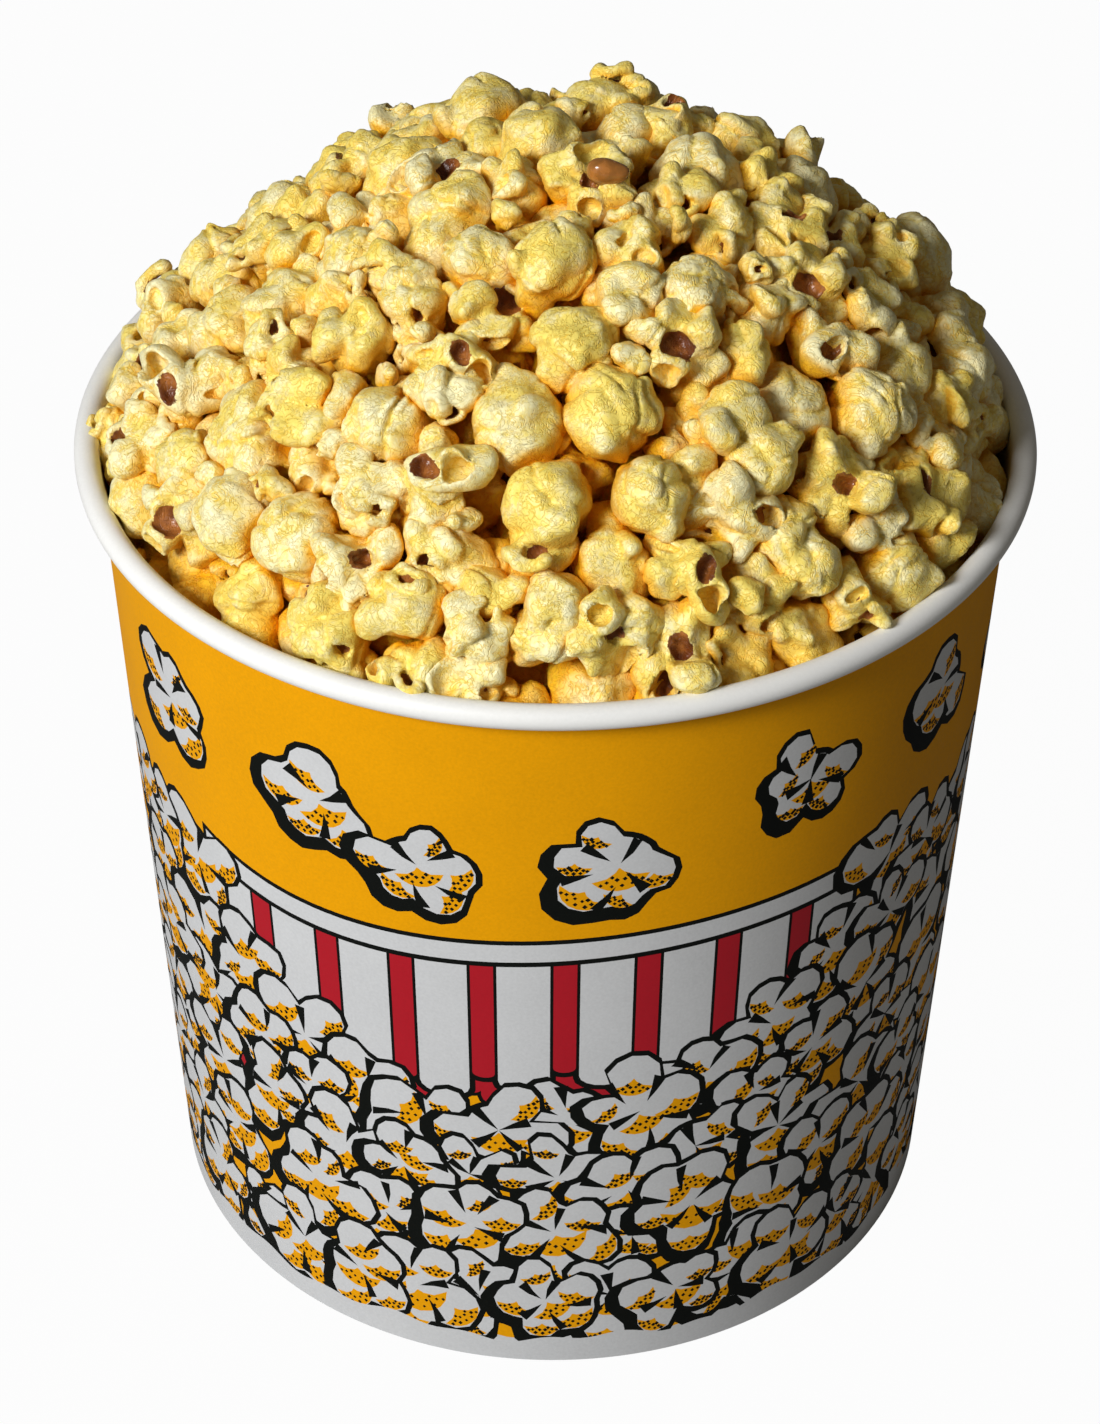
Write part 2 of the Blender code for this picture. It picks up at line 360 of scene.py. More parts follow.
def new_piece(name, points, faces, materials, kinds=None, node=None):
    """A mesh object of triangles or quads that rides on the tub."""
    points = np.asarray(points, np.float32)
    faces = np.asarray(faces, np.int32)
    sides = faces.shape[1]
    mesh = bpy.data.meshes.new(name)
    mesh.vertices.add(len(points))
    mesh.vertices.foreach_set("co", points.ravel())
    mesh.loops.add(faces.size)
    mesh.loops.foreach_set("vertex_index", faces.ravel())
    mesh.polygons.add(len(faces))
    mesh.polygons.foreach_set("loop_start", np.arange(0, faces.size, sides, dtype=np.int32))
    for finish in materials:
        mesh.materials.append(finish)
    if kinds is not None:
        mesh.polygons.foreach_set("material_index", np.asarray(kinds, np.int32))
    mesh.update(calc_edges=True)
    mesh.validate()
    mesh.shade_smooth()
    piece = bpy.data.objects.new(name, mesh)
    bpy.context.scene.collection.objects.link(piece)
    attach(piece, BODY)
    if node:
        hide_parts(node)
    return piece


def lathe(profile, turns, shift=None, closed=False):
    """Points and quads of a profile of (radius, height) turned round the axis, its two ends open or joined."""
    profile, turns = np.asarray(profile), np.asarray(turns)
    rows, cols = len(turns), len(profile)
    radius, height = (profile[None, :, column].repeat(rows, 0) for column in (0, 1))
    if shift is not None:
        radius = radius + shift(turns[:, None], height, radius)
    points = np.stack([radius * np.cos(turns[:, None]), radius * np.sin(turns[:, None]), height], -1)
    index = np.arange(rows * cols).reshape(rows, cols)
    if closed:
        index = np.hstack([index, index[:, :1]])
    after = np.roll(index, -1, 0)
    quads = np.stack([index[:, :-1], after[:, :-1], after[:, 1:], index[:, 1:]], -1).reshape(-1, 4)
    return points.reshape(-1, 3), quads


def set_looks(piece, looks):
    """Stores bran, crest, tone and painted shade at each point of a piece, for its material."""
    made = piece.data.attributes.new("flake_look", "FLOAT_COLOR", "POINT")
    made.data.foreach_set("color", looks.astype(np.float32).ravel())


# ------------------------------------------------------------------------------------------------- the tub


# between the layers of board in the folded foot, in metres
FOLD_GAP = 0.0003


class Tub:
    """The tub's form, worked out from its settings."""

    def __init__(self, settings):
        self.settings = settings
        self.bead_radius = settings.bead / 2
        self.bead_centre = (settings.rim / 2 - self.bead_radius, settings.height - self.bead_radius)
        self.mouth = settings.rim / 2 - settings.bead
        self.taper = (self.mouth + settings.board - settings.base / 2) / self.bead_centre[1]

    def wall(self, z, layers=0.0):
        """Radius of the wall's outer face at height z, less a number of metres towards the axis."""
        return self.settings.base / 2 + self.taper * z - layers

    def lap(self, turn):
        """How much of a board's thickness the glued lap at the back stands out, at each turn."""
        half = self.settings.seam / 2 / self.mouth
        past = (np.asarray(turn) - math.pi / 2 + math.pi) % math.tau - math.pi
        rise = np.clip((past + 2.6 * half) / (1.6 * half), 0, 1)
        return np.where(past < half, rise * rise * (3 - 2 * rise), 0.0) * (past > -3 * half)

    def wander(self, turn, z):
        """The wall's slight unevenness, none at the foot, always inwards."""
        share = np.clip(np.asarray(z) / self.settings.height, 0, 1)
        wave = 0.5 * np.sin(3 * turn + 1.2) + 0.3 * np.sin(5 * turn + 9 * share) + 0.2 * np.sin(9 * turn - 14 * share)
        return self.settings.wave * share * (wave - 1.0)

    def outside(self, turn, z, proud=0.0):
        """Radius of the printed face."""
        return self.wall(z) + self.wander(turn, z) + self.lap(turn) * self.settings.board + proud

    def shift(self, turn, z, radius):
        """Shift of the wall's radius: the lap, the unevenness, and the pull of the lap on the rolled rim."""
        board, bead, up = self.settings.board, self.bead_radius, self.bead_centre[1]
        on_wall = np.abs(radius - self.wall(z)) < board * 1.6
        outward = radius > self.wall(z) - board * 0.5
        lap = self.lap(turn) * board * np.where(outward & (z > 0.001) & (z < up - bead * 0.6), 1.0, 0.0)
        pull = 0.00016 * np.exp(-(((turn - math.pi / 2) / 0.07) ** 2)) * np.where(z > up - bead, 1.0, 0.0)
        return np.where(on_wall | (z > up - bead), self.wander(turn, z), 0.0) + lap - pull

    def wall_profile(self):
        """Radii and heights round the wall's section: outer face, rolled rim, inner face and folded foot."""
        board, bead, (out, up) = self.settings.board, self.bead_radius, self.bead_centre
        outer = [(self.wall(z), z) for z in (0.0003, *np.linspace(0.004, 0.180, 16))]
        outer.append((self.wall(up - bead) - 0.0001, up - bead))
        # the roll: a full turn of board that tucks in under itself against the wall
        start = -math.acos((self.wall(up) - out) / bead)
        arc = [start + (math.pi - start) * step / 26 for step in range(27)]
        roll = [(out + bead * math.cos(turn), up + bead * math.sin(turn)) for turn in arc]
        inner = [(self.wall(z, board), z) for z in (0.175, 0.15, 0.10, 0.05, 0.02, 0.0045)]
        # the foot is folded up inside, over the skirt of the base
        slot = 2 * board + 2 * FOLD_GAP
        hem = slot + board
        top = self.settings.foot - 0.002
        fold = [
            (self.wall(0.0020, board), 0.0012),
            (self.wall(0.0020, slot), 0.0012),
            (self.wall(0.0040, slot), 0.0040),
            (self.wall(top, slot), top - 0.0002),
            (self.wall(top, slot + board * 0.5), top),
            (self.wall(top, hem), top - 0.0002),
            (self.wall(0.002, hem), 0.0020),
            (self.wall(0.0, hem - 0.0001), 0.0003),
            (self.wall(0.0, hem - 0.0004), 0.0),
            (self.wall(0.0, 0.0003), 0.0),
        ]
        return outer + roll + inner + fold

    def base_profile(self):
        """Radii and heights over the base disc, round its skirt and back under it."""
        board, z = self.settings.board, self.settings.foot
        outer, inner = board + FOLD_GAP, 2 * board + FOLD_GAP
        flat_part = (0.0004, 0.02, 0.05, 0.075)
        return [
            *((radius, z) for radius in flat_part),
            (self.wall(z, outer + 0.0012), z),
            (self.wall(z, outer + 0.0003), z - 0.0003),
            (self.wall(z, outer), z - 0.0014),
            (self.wall(0.0012, outer), 0.0016),
            (self.wall(0.0012, inner), 0.0016),
            (self.wall(z, inner), z - board - 0.0012),
            (self.wall(z, inner + 0.0010), z - board),
            *((radius, z - board) for radius in flat_part[::-1]),
        ]


def seam_turns(tub, count):
    """Turns round the tub, closer together at the edge of the lap."""
    half = tub.settings.seam / 2 / tub.mouth
    even = np.linspace(0, math.tau, count, endpoint=False)
    edge = math.pi / 2 + half
    close = edge + np.array([-0.0006, 0.0006])
    kept = even[np.abs(even - edge) > 0.004]
    return np.sort(np.concatenate([kept, close, math.pi / 2 + np.linspace(-2.6, 0.9, 12) * half]))


class POPCORN_OT_board(bpy.types.Operator):
    """Builds the board tub: wall, rolled rim, folded foot, lapped seam and raised base"""

    bl_idname = "popcorn.board"
    bl_label = "Board Tub"

    def execute(self, context):
        settings = context.scene.popcorn_board
        tub = Tub(settings)
        board, bead, up = settings.board, tub.bead_radius, tub.bead_centre[1]
        points, quads = lathe(tub.wall_profile(), seam_turns(tub, 360), tub.shift, closed=True)
        height = points[quads].mean(1)[:, 2]
        across = np.hypot(points[quads][..., 0], points[quads][..., 1]).mean(1)
        within = (across < tub.wall(height) - board * 0.5) & (height < up - bead * 0.2) & (height > settings.foot)
        board_white = paper_material("tub_board", settings.paper, 0.07, 0.46)
        new_piece(
            "tub_wall",
            points,
            quads,
            [board_white, inside_material(settings)],
            kinds=within.astype(int),
            node="bucket_wall",
        )
        points, quads = lathe(tub.base_profile(), np.linspace(0, math.tau, 180, endpoint=False))
        # the disc sags a hair in the middle under the popcorn
        flat = np.hypot(points[:, 0], points[:, 1])
        points[:, 2] -= np.where(flat < 0.083, 0.0005 * (1 - (flat / 0.083) ** 2), 0.0)
        new_piece(
            "tub_base",
            points,
            quads,
            [paper_material("tub_base_board", settings.paper, 0.09, 0.6, fibres=1100.0)],
            node="bucket_base",
        )
        return {"FINISHED"}


# ------------------------------------------------------------------------------------------------- the print

SHEET, AMBER, WHITE, BLACK, CRIMSON = range(5)
# how far the print stands off the board, in metres
PRINT_PROUD = 0.00006
# a printed flake: corners of its outline, the line's least thickness and how much it gains away from the light, in
# millimetres, and the rows of dots in a shaded lobe as the share of the way in and the number of dots
FLAKE_SIDES = 30
LINE, GAIN = 1.5, 2.8
DOT_ROWS = ((0.17, 5), (0.46, 4), (0.74, 2))
# room between printed flakes, in flake radii: at first, and for the small ones that fill the gaps
ROOM, GAP_ROOM = 1.20, 1.05
# the awning: bays, share of a bay that its white stripe takes, and how far its shadow falls in millimetres
BAYS, STRIPE, SHADOW = 9, 0.68, (-3.4, -4.6)


def reach(lobes, way):
    """How far round lobes, each given as x, y and radius, reach from their middle, one way."""
    best = 0.0
    for lx, ly, radius in lobes:
        along = lx * math.cos(way) + ly * math.sin(way)
        spare = radius**2 - (lx * lx + ly * ly - along * along)
        if spare > 0:
            best = max(best, along + math.sqrt(spare))
    return best


class Print:
    """A sheet of print laid out flat, in millimetres round the tub (from the front, to the right) and up it."""

    def __init__(self, tub, settings):
        self.tub, self.settings = tub, settings
        self.scale = tub.mouth / MM
        self.points, self.faces, self.inks, self.edges = [], [], [], []
        self.draw = random.Random(settings.seed)

    def shape(self, outline, ink):
        """Lays a polygon of ink over what is there, turned to run anticlockwise."""
        if sum(a[0] * b[1] - b[0] * a[1] for a, b in zip(outline, outline[1:] + outline[:1])) < 0:
            outline = outline[::-1]
        start = len(self.points)
        self.points.extend(Vector(point) for point in outline)
        self.faces.append(list(range(start, start + len(outline))))
        self.inks.append(ink)

    def degrees(self, value):
        """Millimetres round the tub for degrees from the front."""
        return math.radians(value) * self.scale

    def heap_line(self, across):
        """Height of the printed heap at a distance round the tub: low in front, high at the sides and back."""
        away = abs(across) / self.degrees(1.0)
        rise = min(max((away - 16.0) / 44.0, 0.0), 1.0)
        side = rise * rise * (3 - 2 * rise)
        low, high = self.settings.heap_front / MM, self.settings.heap_side / MM
        sway = 3.0 * math.sin(away / 9.0) + 2.0 * math.sin(away / 4.1 + 1.0)
        return low + (high - low) * side + (sway if away > 50 else 0.25 * across / self.degrees(1.0))

    def flake(self, x, y, size):
        """A cartoon of a popped flake: uneven round lobes outlined in black, shaded in amber with black dots."""
        draw = self.draw
        turn = draw.uniform(0, math.tau)
        lobes = [(0.0, 0.0, draw.uniform(0.46, 0.56) * size)]
        way = turn
        while way < turn + math.tau - draw.uniform(0.9, 1.7):
            out = draw.uniform(0.46, 0.74) * size
            lobes.append((out * math.cos(way), out * math.sin(way), draw.uniform(0.26, 0.47) * size))
            way += draw.uniform(0.85, 1.5)

        ways = [math.tau * step / FLAKE_SIDES for step in range(FLAKE_SIDES)]
        ends = [reach(lobes, way) * draw.uniform(0.975, 1.03) for way in ways]
        # the outline is thick on the side away from the light, below and to the left
        line = [LINE + GAIN * max(0.0, math.cos(way + 2.3)) for way in ways]
        spot = [(math.cos(way), math.sin(way)) for way in ways]
        self.shape([(x + (e + w) * c, y + (e + w) * s) for (c, s), e, w in zip(spot, ends, line)], BLACK)
        self.shape([(x + e * c, y + e * s) for (c, s), e in zip(spot, ends)], WHITE)
        for lx, ly, radius in lobes:
            middle = draw.uniform(-2.2, -0.4) if lx or ly else draw.uniform(-1.6, -1.0)
            self.shade(x + lx, y + ly, radius, middle, draw.uniform(0.95, 1.4))
        for first, second in zip(lobes[1:], lobes[2:] + lobes[1:2]):
            way = math.atan2(first[1] + second[1], first[0] + second[0])
            self.crease(x, y, size, way, reach(lobes, way))

    def shade(self, x, y, radius, middle, half):
        """The amber crescent on the shaded side of a lobe, with its rows of dots."""
        arc = [middle - half + 2 * half * step / 7 for step in range(8)]
        rim = [(x + 0.95 * radius * math.cos(a), y + 0.95 * radius * math.sin(a)) for a in arc]
        dip = []
        for step in range(6, 0, -1):
            a = arc[step]
            far = radius * (0.95 - 0.85 * math.sin(math.pi * step / 7))
            dip.append((x + far * math.cos(a), y + far * math.sin(a)))
        self.shape(rim + dip, AMBER)
        corners = [k * 1.571 for k in range(4)]
        for row, steps in DOT_ROWS:
            for step in range(steps):
                a = middle + 0.78 * (1 - 0.5 * row) * half * (2 * step / (steps - 1) - 1)
                bow = math.cos(0.5 * math.pi * (a - middle) / half)
                far = radius * (0.95 - (0.05 + 0.82 * row) * bow)
                dot = self.draw.uniform(0.45, 0.62)
                px, py = x + far * math.cos(a), y + far * math.sin(a)
                self.shape([(px + dot * math.cos(b), py + dot * math.sin(b)) for b in corners], BLACK)

    def crease(self, x, y, size, way, start):
        """A crease that runs in from the notch between two lobes, bending and thinning as it goes."""
        bend = self.draw.uniform(-0.35, 0.35)
        spine = ((0.0, 0.0, self.draw.uniform(1.0, 1.7)), (0.25, 0.4, 0.75), (0.5, 1.0, 0.0))
        left, right = [], []
        for share, turned, wide in spine:
            out, skew = start - share * size, turned * bend
            px, py = x + out * math.cos(way + skew), y + out * math.sin(way + skew)
            left.append((px - wide * math.sin(way), py + wide * math.cos(way)))
            right.append((px + wide * math.sin(way), py - wide * math.cos(way)))
        self.shape(left + right[:-1][::-1], BLACK)

    def awning(self):
        """A striped awning across the front, with a scalloped hem, rising to the right, and its shadow."""
        left, right = self.degrees(-50.0), self.degrees(46.0)
        width = (right - left) / BAYS

        def top(x):
            share = (x - left) / (right - left)
            return 114.0 + 15.0 * share + 4.0 * math.sin(math.pi * share) + 13.0 * (1.0 - min(share, 1.0)) ** 5

        def hem(x):
            share = (x - left) / (right - left)
            return 66.0 + 21.0 * share + 9.0 * math.sin(math.pi * share)

        def bay(x0, x1, drop, grow):
            """One stripe with a round end, as a polygon grown on all sides."""
            x0, x1 = x0 - grow, x1 + grow
            radius = (x1 - x0) / 2
            steps = 8
            bow = [math.pi + math.pi * k / steps for k in range(steps + 1)]
            foot = hem((x0 + x1) / 2) - drop
            low = [(x0 + radius + radius * math.cos(a), foot - grow + 0.55 * radius * (1 + math.sin(a))) for a in bow]
            return [(x1, top(x1) + grow), (x0, top(x0) + grow)] + low

        stripes = []
        for step in range(BAYS):
            x0 = left + width * step
            stripes.append((x0, x0 + width * STRIPE, 0.0, WHITE))
            if step < BAYS - 1:
                stripes.append((x0 + width * STRIPE, x0 + width, -5.0, CRIMSON))
        for x0, x1, drop, _ in stripes:
            self.shape([(px + SHADOW[0], py + SHADOW[1]) for px, py in bay(x0, x1, drop, 1.0)], BLACK)
        for x0, x1, drop, _ in stripes:
            outline = bay(x0, x1, drop, 0.1)
            for share in (1.0, 0.66, 0.33):
                self.shape([(px + SHADOW[0] * share, py + SHADOW[1] * share) for px, py in outline], CRIMSON)
        for x0, x1, drop, _ in stripes:
            self.shape(bay(x0, x1, drop, 1.0), BLACK)
        for x0, x1, drop, ink in stripes:
            self.shape(bay(x0, x1, drop, -0.35), ink)
        for past, over, under, ink in ((3.2, 3.7, -3.6, BLACK), (2.0, 2.5, -2.3, WHITE)):
            beam = [(x, top(x)) for x in np.linspace(left - past, right + past, 26).tolist()]
            self.shape([(x, y + over) for x, y in beam] + [(x, y + under) for x, y in reversed(beam)], ink)

    def outlines(self):
        """Every polygon's edges."""
        return [edge for face in self.faces for edge in zip(face, face[1:] + face[:1])]

    def cut(self, points, edges):
        """Points, triangles and inks of the sheet cut along the edges."""
        found = delaunay_2d_cdt(points, edges, [], 0, 1e-5, False)
        flat, faces = np.array([tuple(point) for point in found[0]]), np.array(found[2])
        return flat, faces, self.inked(flat[faces].mean(1))

    def inked(self, spots):
        """The ink that ends up on top at each spot, or -1 beside the sheet."""
        order = np.argsort(spots[:, 0])
        x, y = spots[order].T
        top = np.full(len(spots), -1)
        for face, ink in zip(self.faces, self.inks):
            corners = np.array([tuple(self.points[index]) for index in face])
            low, high = np.searchsorted(x, [corners[:, 0].min(), corners[:, 0].max()])
            near = np.arange(low, high)
            near = near[(y[near] > corners[:, 1].min()) & (y[near] < corners[:, 1].max())]
            after = np.roll(corners, -1, 0)
            px, py = x[near, None], y[near, None]
            crosses = (corners[:, 1] > py) != (after[:, 1] > py)
            rise = np.where(after[:, 1] == corners[:, 1], 1.0, after[:, 1] - corners[:, 1])
            edge = corners[:, 0] + (py - corners[:, 1]) * (after[:, 0] - corners[:, 0]) / rise
            inside = (crosses & (px < edge)).sum(1) % 2 == 1
            if ink == SHEET:
                top[near[inside]] = WHITE - 1
            else:
                chosen = near[inside]
                top[chosen[top[chosen] >= 0]] = ink - 1
        kinds = np.empty(len(spots), int)
        kinds[order] = top
        return kinds

    def lay_out(self):
        """Everything on the sheet, from the ground up."""
        settings, draw = self.settings, self.draw
        # the sheet runs once round, from one side of the lap's edge to the other
        lap = self.tub.settings.seam / 2 / MM
        right, foot = self.degrees(180.0) + lap - 0.12, 0.35
        left = right + 0.24 - self.degrees(360.0)
        top = (self.tub.bead_centre[1] - self.tub.bead_radius) / MM - 0.05
        band = settings.foot_band / MM
        size = settings.flake / MM
        self.shape([(left, foot), (right, foot), (right, top), (left, top)], SHEET)
        ground = []
        for x in np.linspace(left, right, 160):
            ground.append((x, band + 1.2 + 0.9 * math.sin(x / 7.0) + 0.6 * math.sin(x / 2.9 + 1.0)))
        self.shape(ground + [(right, top), (left, top)], AMBER)
        self.awning()
        for angle, height, grow in LOOSE_FLAKES:
            self.flake(self.degrees(angle), height, size * grow)
        # one row along the top of the printed heap, one along its foot, and the rest between them
        sites = []
        for x in np.arange(left, right, 1.12 * size).tolist():
            sites.append((x, self.heap_line(x) + draw.uniform(-2.5, 2.0)))
        for x in np.arange(left + 0.4 * size, right, 1.14 * size).tolist():
            sites.append((x, band + size * draw.uniform(0.78, 1.0)))
        for _ in range(9000):
            x = draw.uniform(left, right)
            y = draw.uniform(band + 0.9 * size, self.heap_line(x))
            if all(math.hypot(x - px, y - py) > size * ROOM for px, py in sites):
                sites.append((x, y))
        sites = [(x, y, draw.uniform(0.90, 1.12)) for x, y in sites]
        for _ in range(5000):
            x = draw.uniform(left, right)
            y = draw.uniform(band + 0.9 * size, self.heap_line(x) - 0.5 * size)
            if all(math.hypot(x - px, y - py) > size * GAP_ROOM for px, py, _ in sites):
                sites.append((x, y, 0.85))
        sites.sort(key=lambda site: -site[1] + draw.uniform(-6, 6))
        for x, y, grow in sites:
            self.flake(x, y, size * grow)
        bare = [(right, foot), (left, foot)]
        for x in np.linspace(left, right, 320):
            bare.append((x, band + 0.9 * math.sin(x / 8.0) + 0.7 * math.sin(x / 3.1 + 2.0)))
        self.shape(bare, WHITE)
        # upright cuts let the flat sheet bend round the tub, closer together where it climbs the lap
        climb = (180.0 + np.linspace(-2.6, 0.9, 12) * lap / self.degrees(1.0)).tolist()
        upright = [self.degrees(angle) for angle in [2.0 * step for step in range(-87, 86)] + climb]
        level = [foot + (top - foot) * share / 8 for share in range(1, 8)]
        for ends in [((x, foot), (x, top)) for x in upright] + [((left, y), (right, y)) for y in level]:
            self.edges.append((len(self.points), len(self.points) + 1))
            self.points += [Vector(end) for end in ends]


# printed flakes over the heap: degrees round from the front, height in millimetres, and scale
LOOSE_FLAKES = (
    (-56.0, 160.0, 0.95),
    (-30.0, 157.0, 0.95),
    (-17.0, 147.0, 0.9),
    (8.0, 150.0, 1.0),
    (33.0, 161.0, 0.95),
    (58.0, 163.0, 0.9),
    (84.0, 150.0, 1.05),
    (112.0, 163.0, 1.0),
    (139.0, 150.0, 1.1),
    (163.0, 168.0, 1.0),
    (-168.0, 152.0, 1.05),
    (-142.0, 164.0, 0.95),
    (-116.0, 149.0, 1.1),
    (-90.0, 162.0, 1.0),
)


class POPCORN_OT_print(bpy.types.Operator):
    """Prints the tub: an amber ground, a striped awning, and a heap of cartoon flakes over a bare foot"""

    bl_idname = "popcorn.print"
    bl_label = "Print"

    def execute(self, context):
        board, settings = context.scene.popcorn_board, context.scene.popcorn_print
        tub = Tub(board)
        sheet = Print(tub, settings)
        sheet.lay_out()
        flat, faces, kinds = sheet.cut(sheet.points, sheet.outlines() + sheet.edges)
        # cut again along nothing but the edges between two inks, which drops every outline that is printed over
        sides = np.sort(np.concatenate([faces[:, [0, 1]], faces[:, [1, 2]], faces[:, [2, 0]]]), 1)
        code, owner = sides[:, 0] * len(flat) + sides[:, 1], np.tile(np.arange(len(faces)), 3)
        order = np.argsort(code, kind="stable")
        twins = np.nonzero(code[order][1:] == code[order][:-1])[0]
        parted = order[twins[kinds[owner[order[twins]]] != kinds[owner[order[twins + 1]]]]]
        borders = sides[parted]
        used, borders = np.unique(borders, return_inverse=True)
        points = [Vector(point) for point in flat[used].tolist()]
        edges = [tuple(edge) for edge in borders.reshape(-1, 2).tolist()]
        for first, second in sheet.edges:
            edges.append((len(points), len(points) + 1))
            points += [sheet.points[first], sheet.points[second]]
        flat, faces, kinds = sheet.cut(points, edges)
        faces, kinds = faces[kinds >= 0], kinds[kinds >= 0]
        if not len(faces):
            raise RuntimeError("the print came out empty")
        turn = flat[:, 0] / sheet.scale - math.pi / 2
        height = flat[:, 1] * MM
        radius = tub.outside(turn, height, PRINT_PROUD)
        points = np.stack([radius * np.cos(turn), radius * np.sin(turn), height], 1)
        used, faces = np.unique(faces, return_inverse=True)
        faces = faces.reshape(-1, 3)
        points = points[used]
        looks = (
            ("ink_amber", settings.amber, 0.16, 0.52, 0.06),
            ("ink_white", settings.white, 0.14, 0.52, 0.16),
            ("ink_black", settings.black, 0.30, 0.50, 0.03),
            ("ink_crimson", settings.crimson, 0.12, 0.50, 0.16),
        )
        inks = [paper_material(name, ink, mottle, gloss, sheen=sheen) for name, ink, mottle, gloss, sheen in looks]
        piece = new_piece("tub_print", points, faces, inks, kinds=kinds)
        way = turn[used]
        normals = np.stack([np.cos(way), np.sin(way), np.full(len(way), -tub.taper)], 1)
        piece.data.normals_split_custom_set_from_vertices(normals / np.linalg.norm(normals, axis=1, keepdims=True))
        return {"FINISHED"}


# ------------------------------------------------------------------------------------------------- one flake

# in millimetres: the size of the broad and of the fine unevenness, and a distance that counts as far off
WARP_SIZES = (5.5, 1.9)
FAR_OFF = 9.0
CORNERS = [(i, j, k) for i in (0, 1) for j in (0, 1) for k in (0, 1)]


def noise_volume(shape, size, draw):
    """A random volume with features about `size` cells across, and unit deviation."""
    white = draw.standard_normal(shape).astype(np.float32)
    smooth = blurred(white, size * 1.5)
    return (smooth / smooth.std()).astype(np.float32)


def blurred(volume, size):
    """The volume smoothed over about `size` cells."""
    ways = [np.fft.fftfreq(count) for count in volume.shape[:2]] + [np.fft.rfftfreq(volume.shape[2])]
    square = ways[0][:, None, None] ** 2 + ways[1][None, :, None] ** 2 + ways[2][None, None, :] ** 2
    return np.fft.irfftn(np.fft.rfftn(volume) * np.exp(-square * size**2), s=volume.shape)


def unit(vector):
    """The vector at length one."""
    vector = np.asarray(vector, float)
    return vector / np.linalg.norm(vector)


def any_way(draw):
    """A random direction."""
    return unit(draw.standard_normal(3))


def turned_to(axis, draw):
    """Rotation matrix whose third column is the axis, with a random turn about it."""
    side = unit(np.cross(axis, any_way(draw)))
    return np.stack([side, np.cross(axis, side), axis], 1)


def merged(a, b, soft):
    """Union of two distance fields with a soft joint."""
    gap = np.maximum(soft - np.abs(a - b), 0.0) / soft
    return np.minimum(a, b) - gap * gap * soft * 0.25


def ellipsoid(q, radii):
    """Distance to an ellipsoid at the origin, near enough."""
    near = np.linalg.norm(q / radii, axis=-1) + 1e-6
    return near * (near - 1.0) / (np.linalg.norm(q / radii**2, axis=-1) + 1e-6)


